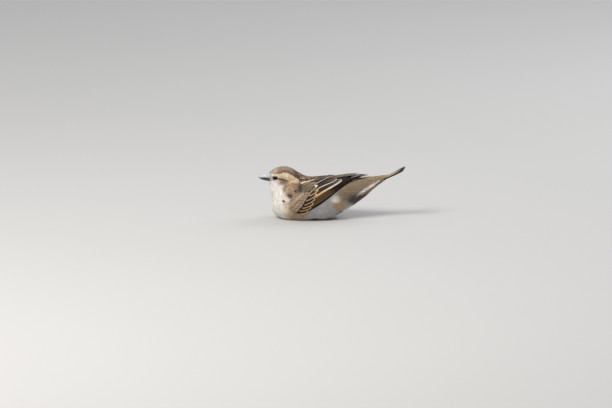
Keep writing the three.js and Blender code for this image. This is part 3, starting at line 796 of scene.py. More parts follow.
def vane_material(name, barbs, mottle, sheen, ragged, soft, specular=0.25):
    """Keratin feathers with the barbed vane's colours, gloss and relief."""
    material, tree, shader = new_material(name)
    vane = tree.nodes.new("ShaderNodeGroup")
    vane.node_tree = VANE_GROUP
    for socket, value in (("Barbs", barbs), ("Mottle", mottle), ("Ragged", ragged), ("Soft", soft)):
        vane.inputs[socket].default_value = value
    feed(tree, shader.inputs["Base Color"], vane.outputs["Color"])
    feed(tree, shader.inputs["Roughness"], vane.outputs["Roughness"])
    bumped(tree, shader, vane.outputs["Height"], 0.6, 0.05)
    shader.inputs["Specular IOR Level"].default_value = specular
    shader.inputs["Sheen Weight"].default_value = sheen
    return material


SOFT_VANE = vane_material("Soft body feather", 14.0, 0.25, 0.08, 0.28, 0.07)

eye_centre = sum(np.array(corner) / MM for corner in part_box("eye_left")) / 2
EYE_OPENING = 2.4  # half the length of the gap between the lids' feathers
OVAL = np.array([1.0, 1.0, 1.17])  # the gap is longer than it is high
LOWER_BACK_GAP = 1.4  # between the roots of the long feathers there
FLOOR_CLEARANCE = 0.6  # below this the bird rests on bare skin
SHORTEST = 0.7  # the shortest feather that is laid


def from_eye(points):
    """How far each place is from the nearer eye in the side view."""
    side = points.copy()
    side[:, 1] = -np.abs(side[:, 1])
    return np.linalg.norm(((side - eye_centre) * OVAL)[:, (0, 2)], axis=1)


def root_spacing(points):
    """The gap between small feathers, finest at the bill and the eyes."""
    x, z = points[:, 0], points[:, 2]
    gap = 0.56 + 0.32 * smooth_step(x, -62, -54) + 0.26 * smooth_step(x, -50, -40)
    gap += 0.16 * smooth_step(x, -42, -30)
    low_head = smooth_step(-z, -38, -26) * (1 - smooth_step(x, -40, -34))
    gap = np.maximum(gap, 0.88 + 0.40 * low_head * smooth_step(-z, -34, -20))
    near_eye = (from_eye(points) < 6.5) & (np.abs(points[:, 1]) > 3)
    return np.where(near_eye, np.minimum(gap, 0.34 + 0.11 * from_eye(points)), gap)


def wants_feathers(points):
    """True where the coat grows: not on the bill's root, in the eye or under the belly."""
    in_eye = (from_eye(points) < EYE_OPENING) & (np.abs(points[:, 1]) > 3)
    in_bill = points[:, 0] < -62.7 - 0.9 * smooth_step(points[:, 2], 42.5, 44.5)
    on_floor = points[:, 2] < FLOOR_CLEARANCE
    return ~(in_eye | in_bill | on_floor)


def wing_front(z):
    """How far back the feathers of breast and neck reach over the wing's bend."""
    return -41.0 + 8.0 * smooth_step(z, 24, 31)


def under_wing(points, normals):
    """True where the wing lies over the body."""
    left, out = points.copy(), normals.copy()
    out[:, 1] *= -np.sign(left[:, 1])
    left[:, 1] = -np.abs(left[:, 1])
    rays = zip(left.tolist(), out.tolist())
    return np.array([wing_surface.tree.ray_cast(point, way, 5.0)[0] is not None for point, way in rays])


def front_roots(points):
    """The head and breast, with a ragged edge over the mantle."""
    ragged = 5.0 * rng.random(len(points)) ** 1.5 * smooth_step(points[:, 2], 35, 38)
    return wants_feathers(points) & (points[:, 0] < wing_front(points[:, 2]) + ragged)


def mid_back_roots(points):
    """The lower back, where its long loose feathers lie between and over the wings' edges."""
    x, y, z = points[:, 0], np.abs(points[:, 1]), points[:, 2]
    return (x > -14) & (x < 20) & (z > 39) & (y < 6.4 - 0.09 * (x + 14))


def other_roots(points):
    """The rest of the body but for the back under the mantle."""
    under_mantle = (points[:, 0] > -31) & (points[:, 0] < 6) & (points[:, 2] > 36.5)
    return wants_feathers(points) & (points[:, 0] >= wing_front(points[:, 2])) & ~under_mantle


def scatter(tries, closer, length_by, unruly):
    """Roots over the whole coat with their ways, lengths, spacing, and if they are in front.

    Closer shrinks the spacing, and unruly is how far the feathers stray from the lie."""

    def spacing(points):
        return closer * root_spacing(points)

    front, front_gap = pick_roots(whole_surface, tries, spacing, front_roots)
    rest, rest_gap = pick_roots(body_surface, tries, spacing, other_roots)
    middle, middle_gap = pick_roots(whole_surface, tries, closer * LOWER_BACK_GAP, mid_back_roots)
    front, front_gap = np.concatenate([front, middle]), np.concatenate([front_gap, middle_gap])
    _, front_normals = whole_surface.nearest(front)
    _, rest_normals = body_surface.nearest(rest)
    rest_ways = lie_of_feathers(rest, rest_normals)
    covered = under_wing(rest, rest_normals)
    ahead, ahead_normals = body_surface.nearest(rest + rest_ways * (4.2 * rest_gap / closer)[:, None])
    covered &= under_wing(ahead, ahead_normals)
    roots = np.concatenate([front, rest[~covered]])
    gaps = np.concatenate([front_gap, rest_gap[~covered]]) / closer
    ways = np.concatenate([lie_of_feathers(front, front_normals), rest_ways[~covered]])
    in_front = np.arange(len(roots)) < len(front)
    lengths = (gaps * 4.4 + 0.5) * length_by * (1 + 0.14 * rng.standard_normal(len(roots)))

    _, normals = whole_surface.nearest(roots)
    lean = unruly * rng.standard_normal((len(roots), 1))
    ways = unit(ways + np.cross(normals, ways) * lean)

    # A shaft that runs towards the eye stops at the lid.
    to_eye = (eye_centre * np.where(roots[:, 1:2] > 0, (1, -1, 1), (1, 1, 1)) - roots) * OVAL
    step = ways * OVAL
    step[:, 1] = to_eye[:, 1] = 0.0
    a, b = (step**2).sum(axis=1), (to_eye * step).sum(axis=1)
    inside = b**2 - a * ((to_eye**2).sum(axis=1) - EYE_OPENING**2)
    stop = (b - np.sqrt(np.maximum(inside, 0))) / a
    aimed = (inside > 0) & (b > 0) & (stop < 12) & (np.abs(roots[:, 1]) > 3)
    lengths = np.where(aimed, np.minimum(lengths, stop), lengths)
    keep = lengths > SHORTEST
    return roots[keep], ways[keep], lengths[keep], gaps[keep], in_front[keep]


def plain_tones(points, shaft_dark):
    """Body colour from the markings, a slightly darker shaft and a paler fringe."""
    x, _, z = points.T
    ground = markings(points)
    streaky = smooth_step(x, -47, -43) * (1 - smooth_step(x, -31, -28))
    streaky *= smooth_step(z, 25, 29) * (1 - smooth_step(z + 0.4 * x, 22, 25))
    on_brow = smooth_step(x, -53, -50) * (1 - smooth_step(x, -36, -33))
    on_brow *= smooth_step(z, 38, 40) * (1 - smooth_step(z - 0.3 * x, 60, 62))
    ground = ground * (1 + 0.28 * streaky * rng.uniform(-1.6, 1.0, len(points)))[:, None]
    ground = ground * (1 - 0.24 * on_brow * rng.random(len(points)))[:, None] ** (1.0, 1.15, 1.5)
    return {
        "body": ground, "core": ground * (1 - shaft_dark), "edge": ground + (1 - ground) * 0.12,
        "bands": (0.25, 0.86),
    }


def coat_zones(places, in_front):
    """The coat's pieces, each with the feathers that show in it."""
    x, y, z = places.T
    on_head = (z - 0.55 * x > 60.5) & (x < -31) & in_front
    low_back = in_front & (x > -20)
    zones = {
        "head": on_head,
        "lower_back": low_back,
        "breast_left": ~on_head & ~low_back & in_front & (y < 0),
        "breast_right": ~on_head & ~low_back & in_front & (y >= 0),
        "rump": ~in_front & (x >= 12) & (z - 0.45 * x > 14),
        "back": ~in_front & (x < 12) & (z > 34),
    }
    taken = sum(zones.values()).astype(bool)
    return zones | {"flank_left": ~taken & (y < 0), "flank_right": ~taken & (y >= 0)}


PROUD = {"head": 0.18, "lower_back": 0.4}  # how far the tips stand off where it isn't 0.3


def lay_coat(prefix, scattered, slender, vane, head_vane, over):
    """One layer of the coat, a piece for each zone. Slender is half width over length."""
    roots, ways, lengths, gaps, in_front = scattered
    half_widths = np.minimum(gaps * 1.05, slender * lengths)
    shown = roots + ways * (0.7 * lengths)[:, None]
    for zone, mask in coat_zones(shown, in_front).items():
        fine = zone == "head"
        tones = plain_tones(shown[mask], 0.18 if zone in ("head", "back") else 0.05)
        small_feathers(
            f"{prefix}_{zone}", whole_surface if in_front[mask][0] else body_surface, roots[mask],
            ways[mask], lengths[mask], half_widths[mask], tones,
            sink=0.55 if fine else 1.1,
            proud=over + PROUD.get(zone, 0.3), vane=head_vane if fine else vane,
        )


lay_coat("feathers", scatter(90000, 1.0, 1.0, 0.13), 0.36, FAN, FINE_FAN, 0.0)
# Loose barbs: slender locks between the feathers, which break up their edges.
lay_coat("barbs", scatter(160000, 0.62, 0.66, 0.2), 0.16, LOCK, LOCK, 0.14)

# ---- The wings -----------------------------------------------------------------------------
# Each folded wing is a stack of stiff quills: nine primaries lowest, six secondaries, three
# broad tertials on top, and rows of coverts over their roots like tiles. A quill is a solid
# vane either side of a raised shaft, laid on the wing's own outward curve.

TIP_FORM_X = 33.0  # behind this the form runs on with the same section
WING_AXIS = (
    (-47, 24.5), (-34, 22.5), (-22, 22.5), (-9, 24), (4, 27), (15, 32), (24.5, 36.8), (33, 40.8), (38, 43)
)
FAR_TURN = -0.5  # how far over the middle of the back the form runs
AXIS_FIT = np.polyfit(*zip(*WING_AXIS), 4)
QUILL_ROOT = 0.45  # a quill's width at its root, as a share of its widest
COLUMNS = np.array([-1.0, -0.62, -0.12, 0.0, 0.12, 0.62, 1.0])  # across a quill, outer web first


class WingForm:
    """The folded wings' outside as a distance from a long axis, so that it runs past their edges."""

    def __init__(self, *surfaces):
        """Fits the form to the outward faces of some surfaces."""
        points = np.concatenate([surface.points for surface in surfaces])
        normals = np.concatenate([surface.normals for surface in surfaces])
        x, turn, reach = self.polar(points)
        outward = np.stack([0 * x, -np.sin(turn), np.cos(turn)], axis=1)
        facing = (normals * outward).sum(axis=1) > 0.45
        inside = facing & (x < TIP_FORM_X) & (x > -46) & (turn < 2.3) & (turn > FAR_TURN)
        terms = self.terms(x[inside], turn[inside])
        self.fit = np.linalg.lstsq(terms, reach[inside], rcond=None)[0]

    def axis(self, x):
        """The height of the long axis at x."""
        return np.polyval(AXIS_FIT, np.minimum(x, TIP_FORM_X)) + 0.16 * np.maximum(x - TIP_FORM_X, 0)

    def polar(self, points):
        """Points as x, the turn round the axis from its top, and the distance from it."""
        x, out, up = points[..., 0], -points[..., 1], points[..., 2] - self.axis(points[..., 0])
        return x, np.arctan2(out, up), np.hypot(out, up)

    def terms(self, x, turn):
        u, v = (np.clip(x, -47, TIP_FORM_X) + 10) / 37, np.clip(turn, FAR_TURN, 2.4) / 1.2 - 1
        return np.stack([u**i * v**j for i in range(7) for j in range(5) if i + j < 8], axis=-1)

    def place(self, x, turn, over=0.0):
        """The point of the form at x and a turn, or one that stands over it."""
        reach = self.terms(x, turn) @ self.fit + over
        return np.stack([x, -reach * np.sin(turn), self.axis(x) + reach * np.cos(turn)], axis=-1)

    def at_side(self, x, z):
        """The turn at which the form is seen at x, z from the side."""
        turns = np.linspace(0.02, 2.3, 160)
        heights = self.place(np.full(len(turns), float(x)), turns)[:, 2]
        return float(np.interp(-z, -heights, turns))

    def guide(self, pairs):
        """Points of the form seen from the side at x, z pairs."""
        turns = np.array([self.at_side(x, z) for x, z in pairs])
        return self.place(np.array([float(x) for x, _ in pairs]), turns)

    def lay(self, points, height):
        """Points moved to stand at a height over the form, and its normals there."""
        x, turn, _ = self.polar(points)
        spots = self.place(x, turn, np.asarray(height))
        step = 0.02
        by_x = self.place(x + step, turn) - self.place(x - step, turn)
        by_turn = self.place(x, turn + step) - self.place(x, turn - step)
        return spots, unit(np.cross(by_turn, by_x))


def quill(form, line, webs, level, tones, rows, tip_from, camber, out_edge, in_edge,
          pointed=0.0, tilt=0.0, narrows=0.0, tip_bar=0.0, core_at=0.0):
    """One quill on a form. Line is its shaft, and webs are its outer and inner widths.

    Level is how far its root and its vane stand over the form, and tilt how fast it sinks
    towards its inner edge. Edges are the pale fringes' widths, the outer one losing a share
    of it along the feather, and tip_bar is the length of a pale tip. Widths, heights and
    lengths are in millimetres."""
    outer, inner = webs
    widest = max(webs)
    chord = np.r_[0, np.cumsum(np.linalg.norm(np.diff(line, axis=0), axis=1))]
    length = chord[-1]
    t = 1 - (1 - np.linspace(0, 1, rows + 1)) ** 1.35
    degree = min(4, len(line) - 1)
    curve = np.stack([np.polyval(np.polyfit(chord / length, row, degree), t) for row in line.T], axis=1)
    centre, normals = form.lay(curve, np.zeros(rows + 1))
    along = unit(np.gradient(centre, axis=0))
    across = unit(np.cross(normals, along))
    body = QUILL_ROOT + (1 - QUILL_ROOT) * smooth_step(t, 0.0, 0.3)
    past = np.clip((t - tip_from) / (1 - tip_from), 0, 1)
    shape = body * np.sqrt(np.maximum(1 - past**2.2, 0.0)) * (1 - pointed * smooth_step(t, 0.35, 1.0))
    shape = np.maximum(shape, 0.03)
    side = np.where(COLUMNS < 0, COLUMNS * outer, COLUMNS * inner)
    ragged = 1 + 0.025 * rng.standard_normal((rows + 1, len(COLUMNS))) * (np.abs(COLUMNS) > 0.9)
    wide = shape[:, None] * side[None, :] * ragged
    grid = centre[:, None] + across[:, None] * wide[..., None]
    lift = level[0] + (level[1] - level[0]) * smooth_step(t, 0.0, 0.4)
    height = lift[:, None] + camber * (1 - COLUMNS**2) * shape[:, None] - tilt * (wide + outer)
    height = height + 0.10 * (COLUMNS == 0) * (1 - t[:, None])
    grid, _ = form.lay(grid, height)
    below, _ = form.lay(centre, lift - 0.12 - tilt * outer)
    points = np.concatenate([grid.reshape(-1, 3), below])
    count = len(COLUMNS)
    faces = []
    for i in range(rows):
        for j in range(count - 1):
            a, b = i * count + j, i * count + j + 1
            faces += [(a, a + count, b), (b, a + count, b + count)]
    top_faces = len(faces)
    under = (rows + 1) * count
    for i in range(rows):
        left, right, low = i * count, i * count + count - 1, under + i
        faces += [(left, low, left + count), (left + count, low, low + 1)]
        faces += [(low, right, low + 1), (low + 1, right, right + count)]
    for i, end in ((0, 1), (rows, -1)):
        for j in range(count - 1):
            trio = (i * count + j, i * count + j + 1, under + i)
            faces.append(trio[::end])
    margin = np.minimum((1 - np.abs(COLUMNS)) * np.where(COLUMNS < 0, outer, inner) * shape[:, None],
                        0.9 * (1 - t[:, None]) * length)
    reach = 1 - margin / widest
    fringe = np.where(COLUMNS < 0, out_edge * (1 - narrows * t[:, None]), in_edge)
    bar = smooth_step(t, 1 - 1.6 * tip_bar / length, 1 - 0.6 * tip_bar / length)[:, None] if tip_bar else 0
    edge_at = (1 - fringe / widest) * (1 - bar)
    strokes = t[:, None] * length - 0.75 * np.abs(wide)
    cell = (0.5 + 0.5 * wide / widest, np.broadcast_to(t[:, None], wide.shape))
    bands = (np.full(wide.shape, core_at), edge_at, np.full(wide.shape, rng.random()))
    maps = {"uv": np.stack([strokes, reach], axis=-1), "bake": np.stack(cell, axis=-1)}
    maps["bands"] = np.stack(bands, axis=-1)
    for layer in LAYERS:
        tone = tones[layer](t[:, None], COLUMNS[None, :]) if callable(tones[layer]) else tones[layer]
        maps[layer] = np.broadcast_to(tone, (rows + 1, count, 3))
    vanes = {"points": points, "faces": np.array(faces), "smooth": np.arange(len(faces)) < top_faces}
    for key, values in maps.items():  # the vertices underneath take what the shaft has
        vanes[key] = np.concatenate([values.reshape((rows + 1) * count, -1), values[:, count // 2]])
    return vanes


def quill_piece(name, quills, material, mirrored):
    """Joins quills in one piece. Each has its own cell of the unwrap."""
    columns = math.ceil(math.sqrt(len(quills) * 2.2))
    lines = math.ceil(len(quills) / columns)
    joined = {key: np.concatenate([one[key] for one in quills]) for key in quills[0]}
    firsts = np.cumsum([0] + [len(one["points"]) for one in quills])
    joined["faces"] = np.concatenate([one["faces"] + first for one, first in zip(quills, firsts)])
    joined["bake"] = np.concatenate([
        (np.array([i % columns, i // columns]) + 0.04 + 0.92 * one["bake"]) / (columns, lines)
        for i, one in enumerate(quills)
    ])
    return feather_piece(name, joined, material, mirrored)


wing_form = WingForm(wing_surface, whole_surface)
STIFF_VANE = vane_material("Flight feather", 2.4, 0.18, 0.02, 0.05, 0.025, 0.2)
LOOSE_VANE = vane_material("Back feather", 2.4, 0.22, 0.05, 0.22, 0.07)

QUILL_DARK = paint(24, 20, 21)
QUILL_FRINGE = paint(80, 62, 46)
TERTIAL_DARK = paint(50, 42, 45)
# Greyish tertial ends: partly wear, partly a painted sheen.
TERTIAL_WORN_AND_SHEEN = paint(112, 100, 102)
TERTIAL_EDGE = paint(218, 174, 112)
COVERT_DARK = paint(46, 37, 39)
COVERT_BROWN = paint(92, 66, 52)
GOLDEN_EDGE = paint(220, 174, 116)
SECONDARY_EDGE = paint(206, 156, 94)
BUFF_EDGE = paint(210, 186, 150)
CREAM = paint(228, 210, 178)
WHITE_TIP = paint(232, 224, 208)
LESSER_BROWN = paint(166, 138, 112)
LESSER_EDGE = paint(204, 180, 154)
LESSER_OLIVE = paint(122, 104, 82)
SHOULDER_SPOT = paint(120, 88, 64)
PALE_DOWN = paint(222, 206, 188)
PALE_STREAKS = (
    ((-39.5, 18.2), (-34, 24.6), (-29, 29.0)), ((-35.5, 12.6), (-31, 17.6)), ((-41.5, 12.5), (-38.5, 13.5)),
)

# The folded wing's lower edge and the edge of the lowest tertial, as x, z from the side. All
# the flight feathers lie between the two, each one's outer web showing.
LOWER_EDGE = (
    (-24, 8.6), (-16, 14.4), (-5, 22.5), (3, 28.7), (11, 34.5), (18, 39.0), (24, 41.3), (36, 44.0)
)
UPPER_EDGE = (
    (-24, 18), (-13.6, 26.4), (-2, 32.4), (8.6, 37.4), (14, 40.4), (22, 42.9), (30, 44.2), (36, 44.8)
)
PRIMARIES = 9
# Where each flight feather's tip lies, in millimetres along the bird, and its outer edge as a
# share of the way up the band.
TIPS = (33.0, 36.6, 35.4, 33.4, 30.8, 28.0, 25.4, 23.0, 21.2, 18.6, 17.0, 15.4, 13.8, 12.4, 10.8)
SHARES = (-0.06, -0.02, 0.02, 0.06, 0.10, 0.14, 0.18, 0.22, 0.27, 0.34, 0.46, 0.58, 0.70, 0.81, 0.92)


def edge_turns(xs, edge):
    return np.array([wing_form.at_side(x, curve_at(x, edge)) for x in xs])


def flight_line(share, tip, outer):
    """The shaft of a flight feather whose outer edge lies at a share of the way up the band."""
    xs = np.linspace(-22, tip, 9)
    low, high = edge_turns(xs, LOWER_EDGE), edge_turns(xs, UPPER_EDGE)
    edge = wing_form.place(xs, low + share * (high - low))
    _, normals = wing_form.lay(edge, 0.0)
    inward = unit(np.cross(normals, unit(np.gradient(edge, axis=0))))
    return edge + inward * outer


def web_tones(dark, outer_edge, inner_edge=None, tip=None, tip_from=0.9, fades=None):
    """Tones of a stiff feather: dark, with its own fringe on each web and at the tip.

    Where fades is given, the outer fringe fades to that tone past the feather's middle."""

    def edge(t, across):
        inner = dark if inner_edge is None else inner_edge
        outer = outer_edge
        if fades is not None:
            outer = outer_edge + (fades - outer_edge) * smooth_step(t, 0.4, 0.7)[..., None]
        tone = np.where(across[..., None] < 0, outer, inner)
        if tip is None:
            return tone + 0 * t[..., None]
        return np.where(t[..., None] > tip_from, tip, tone)

    return {"body": dark, "core": dark * 0.7, "edge": edge}


def turn_towards(tone, end_tone, most, low, high):
    """A vane's body colour, which turns towards another tone over its last part."""
    return lambda t, across: tone + (end_tone - tone) * (most * smooth_step(t, low, high) + 0 * across)[..., None]


flight = []
for i, (tip, share) in enumerate(zip(TIPS, SHARES)):
    level = -0.85 + 0.09 * i
    dark = QUILL_DARK * (0.8 + 0.01 * i)
    if i < PRIMARIES:
        outer = 1.0
        tones = web_tones(dark, QUILL_FRINGE, None, QUILL_FRINGE * 0.8, fades=QUILL_FRINGE * 0.5)
        finish = {"pointed": 0.6, "tip_from": 0.88, "out_edge": 0.06}
    else:
        outer = 1.5
        tones = web_tones(dark, SECONDARY_EDGE, None, QUILL_FRINGE * 0.7, fades=QUILL_FRINGE * 0.6)
        finish = {"pointed": 0.1, "tip_from": 0.9, "out_edge": (0.08, 0.38)[i % 2]}
    webs = (outer, min(3.0 + 0.45 * i, 6.5))
    line = flight_line(share, tip, outer)
    flight.append(
        quill(wing_form, line, webs, (level - 0.4, level), tones, rows=22, in_edge=0.0, camber=0.0,
              tilt=0.13, **finish)
    )

TERTIAL_SHAFTS = (
    ((-28, 20.5), (-20, 26.5), (-11.6, 31.5), (-2.1, 36.0), (9.9, 40.5)),
    ((-28, 25.8), (-20, 31.4), (-13.6, 35.2), (-5.9, 37.8), (4.6, 41.2)),
    ((-28, 31), (-21.5, 35.4), (-16.6, 38.1), (-11.6, 39.6), (-4.6, 41.3)),
)
# Webs, height over the form, width of the fringe and its tone, from the lowest tertial up.
TERTIAL_LOOKS = (
    ((3.8, 6.2), 0.45, 3.3, TERTIAL_EDGE),
    ((2.8, 6.0), 0.75, 1.9, GOLDEN_EDGE),
    ((2.4, 6.0), 1.0, 1.3, CREAM),
)
tertials = []
for line, (webs, level, fringe, tone) in zip(TERTIAL_SHAFTS, TERTIAL_LOOKS):
    look = web_tones(TERTIAL_DARK, tone, BUFF_EDGE * 0.8, CREAM, 0.95, CREAM)
    # The tertials pale to grey towards their ends: partly wear, partly a painted sheen.
    look["body"] = turn_towards(TERTIAL_DARK, TERTIAL_WORN_AND_SHEEN, 0.6, 0.6, 1.0)
    tertials.append(
        quill(wing_form, wing_form.guide(line), webs, (-0.7, level), look, rows=20, tip_from=0.72,
              pointed=0.3, out_edge=fringe, in_edge=0.45, narrows=0.62, tip_bar=0.2, camber=0.12, tilt=0.09)
    )

# Rows of coverts: their tips and roots from the top of the wing down, as x, z from the side.
GREATER_TIPS = (
    (-14.2, 36.4), (-13.8, 32.9), (-15.5, 28.8), (-16.8, 23.9), (-18.9, 19.4), (-20.6, 15.6), (-23.4, 11.4)
)
GREATER_ROOTS = (
    (-25, 32.2), (-27.5, 27.4), (-30.4, 22.4), (-32.2, 18.6), (-34.0, 15.8), (-36.6, 13.0), (-38.5, 9.6)
)
MEDIAN_TIPS = (
    (-15.4, 36.0), (-18.0, 33.8), (-21.6, 30.2), (-25.2, 25.6), (-28.0, 21.2), (-31.0, 17.0), (-34.2, 12.8)
)
MEDIAN_ROOTS = (
    (-22.2, 33.0), (-24.8, 30.6), (-28.6, 27.0), (-32.4, 22.6), (-35.0, 18.6), (-38.4, 15.2), (-41, 11.6)
)


def along_row(share, points):
    """A place in a row: a share of 0 is its first point, 1 its second, and so on."""
    return np.array([np.interp(share, range(len(points)), values) for values in zip(*points)])


def row_of_coverts(tips, roots, count, webs, level, tones, **finish):
    """A row laid from the lowest covert up, each over the one before it."""
    row = []
    for i in range(count):
        share = (count - 1 - i) / (count - 1) * (len(tips) - 1)
        tip = along_row(share, tips) + rng.uniform(-0.4, 0.4, 2)
        root = along_row(share, roots)
        line = wing_form.guide((root, (tip + root) / 2 - (0, 0.3), tip))
        look, bar = tones(i)
        row.append(quill(wing_form, line, webs, (level[0], level[1] + 0.07 * i), look, tip_bar=bar, **finish))
    return row


def greater_tones(i):
    """Black centres with golden edges. The upper ones have whiter and longer tips."""
    tip = WHITE_TIP * 0.92 if i > 3 else BUFF_EDGE
    look = web_tones(COVERT_BROWN, GOLDEN_EDGE * rng.uniform(0.85, 1.1), COVERT_BROWN, tip, 0.93)
    return look | {"core": COVERT_DARK * rng.uniform(0.8, 1.1)}, 0.8 if i > 3 else 0.5


def median_tones(i):
    """The uppermost are black with broad white tips, and the rest are soft brown."""
    if i > 6:
        return web_tones(COVERT_DARK, LESSER_EDGE, LESSER_EDGE, WHITE_TIP, 0.66), 2.0
    look = web_tones(LESSER_BROWN * 0.85, LESSER_EDGE * 0.8, LESSER_EDGE * 0.8, LESSER_EDGE * 0.9, 0.8)
    return look | {"core": LESSER_BROWN * rng.uniform(0.4, 0.65)}, 0.4


greater = row_of_coverts(GREATER_TIPS, GREATER_ROOTS, 7, (2.6, 3.0), (-0.7, 0.45), greater_tones, rows=16,
                         tip_from=0.7, pointed=0.3, out_edge=0.95, in_edge=0.2, core_at=0.72, camber=0.08,
                         tilt=0.12)
median = row_of_coverts(MEDIAN_TIPS, MEDIAN_ROOTS, 10, (1.9, 2.0), (-0.5, 0.75), median_tones, rows=10,
                        tip_from=0.5, out_edge=0.7, in_edge=0.5, core_at=0.3, camber=0.12, tilt=0.10)


def past_lessers(points):
    """How far back of the lesser coverts a point of the wing lies."""
    return points[:, 0] - 2.0 - curve_at(points[:, 2], [(z, x) for x, z in MEDIAN_ROOTS[::-1]])


def lesser_roots(points, beyond=0.0):
    """The wing's shoulder, from its bend to the median coverts, and beyond over their roots."""
    x, y, z = points.T
    last = beyond * (1 - smooth_step(z, 24, 27))
    on_shoulder = (x > wing_front(z) - 8.5) & (past_lessers(points) < last) & (y < -9)
    return on_shoulder & (z > 8.0) & (z < 35.5)


def lock_roots(points):
    """The same for the loose barbs, which reach a little further."""
    return lesser_roots(points, 0.9)


def shoulder_lie(roots, lean=0.0):
    """The way back along the shoulder, down at its foot and up at its top, with each one's lean."""
    _, normals = wing_surface.nearest(roots)
    ways = np.array([1.0, 0.0, 0.0]) + np.outer((roots[:, 2] - 14) / 26.0, [0.0, 0.0, 1.0])
    ways += np.cross(normals, ways) * np.reshape(lean, (-1, 1))
    return laid_flat(ways, normals)


def lesser_tones(places, edge_light):
    """Soft brown at the bend, olive and streaked above, with the dark spots of parted feathers, partly down
    and partly painted shade.
    """
    x, _, z = places.T
    ground = np.repeat(LESSER_BROWN[None], len(places), axis=0)
    lay_over(ground, LESSER_OLIVE, smooth_step(z, 25, 31) * smooth_step(x, -37, -32))
    lay_over(ground, SHOULDER_SPOT, 0.75 * spot(x, z, (-38.6, 15.2), (3.4, 2.3), 0.5))
    ground *= (1 + 0.50 * streaks(x, z, 0.6, 3.8, 9.0))[:, None] ** (0.85, 1.0, 1.15)
    for line in PALE_STREAKS:
        lay_over(ground, PALE_DOWN, 0.75 * by_line(x, z, line, 1.0, 0.9))
    for centre, radii in PARTED:
        lay_over(ground, DOWN_AND_GAP_SHADE, 0.9 * spot(x, z, centre, radii, 0.3))
    ground *= rng.uniform(0.86, 1.08, len(places))[:, None]
    edge = ground + (LESSER_EDGE - ground) * edge_light
    return {"body": ground, "core": ground * 0.75, "edge": edge, "bands": (0.22, 0.8)}


lessers, _ = pick_roots(wing_surface, 9000, 1.45, lesser_roots)
lesser_ways = shoulder_lie(lessers)
locks, _ = pick_roots(wing_surface, 40000, 0.66, lock_roots)
lock_ways = shoulder_lie(locks, 0.2 * rng.standard_normal(len(locks)))
# The locks stand higher where they lie over the roots of the median coverts, and at the top.
over_row = 0.85 * smooth_step(past_lessers(locks), -6.0, -2.5) * (1 - smooth_step(locks[:, 2], 24, 28))
over_row = np.maximum(over_row, 0.65 * smooth_step(locks[:, 2], 27, 31))
lock_proud = (0.55 + over_row + 0.2 * rng.random(len(locks)))[:, None]


def draw_in(core):
    """Moves a wing's flesh towards the body, under the feathers, and shortens its tip."""
    places = vertex_rows(core.data, "co") / MM
    past = np.maximum(places[:, 0] - 12, 0)
    places[:, 0] -= 0.5 * past
    places[:, 2] -= 0.5 * past * 0.5
    centre = np.stack([places[:, 0], 0 * past, wing_form.axis(places[:, 0])], axis=1)
    out = unit(places - centre)
    places -= out * (1.25 - 0.5 * smooth_step(places[:, 0], 8, 22))[:, None]
    move_vertices(core, places)


for (side, mirrored), wing_nodes in zip(SIDES, (LEFT_WING, RIGHT_WING)):
    core = solid_copy(f"wing_{side}_flesh", wing_nodes)
    make_even(core, FINE_GRID, 3)
    apply_modifier(core, "DISPLACE", strength=-0.5 * MM, mid_level=0.0)
    draw_in(core)
    material, tree, shader = new_material(f"Wing down {side}", 0.9)
    mottle = ramp_of(tree, noise(tree, 700.0), 0.3, 0.7)
    tone = mixed(tree, mottle, (0.06, 0.046, 0.036, 1.0), (0.13, 0.10, 0.08, 1.0))
    feed(tree, shader.inputs["Base Color"], tone)
    core.data.materials.append(material)
    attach(core, "root")
    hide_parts(*wing_nodes)
    quill_piece(f"wing_{side}_flight", flight, STIFF_VANE, mirrored)
    quill_piece(f"wing_{side}_tertials", tertials, STIFF_VANE, mirrored)
    quill_piece(f"wing_{side}_greater_coverts", greater, STIFF_VANE, mirrored)
    quill_piece(f"wing_{side}_median_coverts", median, LOOSE_VANE, mirrored)
    for layer, roots, ways, length, half_width, reach, edge_light, proud, vane in (
        ("lesser_coverts", lessers, lesser_ways, 5.4, 1.7, 3.6, 0.5, 0.35, FAN),
        ("loose_barbs", locks, lock_ways, 4.2, 0.6, 3.0, 0.25, lock_proud, LOCK),
    ):
        ones = np.ones(len(roots))
        shown = roots + reach * ways
        small_feathers(f"wing_{side}_{layer}", wing_surface, roots, ways, length * ones, half_width * ones,
                       lesser_tones(shown, edge_light), sink=0.8, proud=proud, vane=vane,
                       mirrored=mirrored)

# ---- The mantle and scapulars --------------------------------------------------------------
# Long feathers run back from the shoulders over the wings' upper edges. In the mantle they are
# black down the shaft with brown and cream webs, which makes the streaks of the back; the
# scapulars beside them are grey-brown.

# How far apart the lanes of feathers lie at each x, as a share of that at x = -30.
BACK_RUN = (
    (-40, 1.2), (-36, 1.12), (-30, 1.0), (-24, 0.77), (-19, 0.56), (-12, 0.43), (-5, 0.34), (6, 0.24),
    (16, 0.18),
)
# The lane of the outermost feather and the feathers' length in the row that starts at x.
LAST_LANE = ((-36, 40), (-33, 60), (-29, 76), (-25, 72), (-21, 54), (-17, 40), (-9, 30))
MANTLE_LENGTH = ((-36, 8.0), (-24, 11.5), (-9, 14.0))
FIRST_ROW = -36.0
LAST_ROW = -9.0
ROW_STEP = 2.7  # from one row of the mantle's feathers to the next
LANE_STEP = 9.0  # from one feather of a row to the next, in degrees
BACK_BLACK = paint(52, 42, 36)
BACK_BROWN = paint(140, 106, 76)
BACK_BUFF = paint(196, 166, 128)
SCAPULAR_GREY = paint(136, 118, 96)


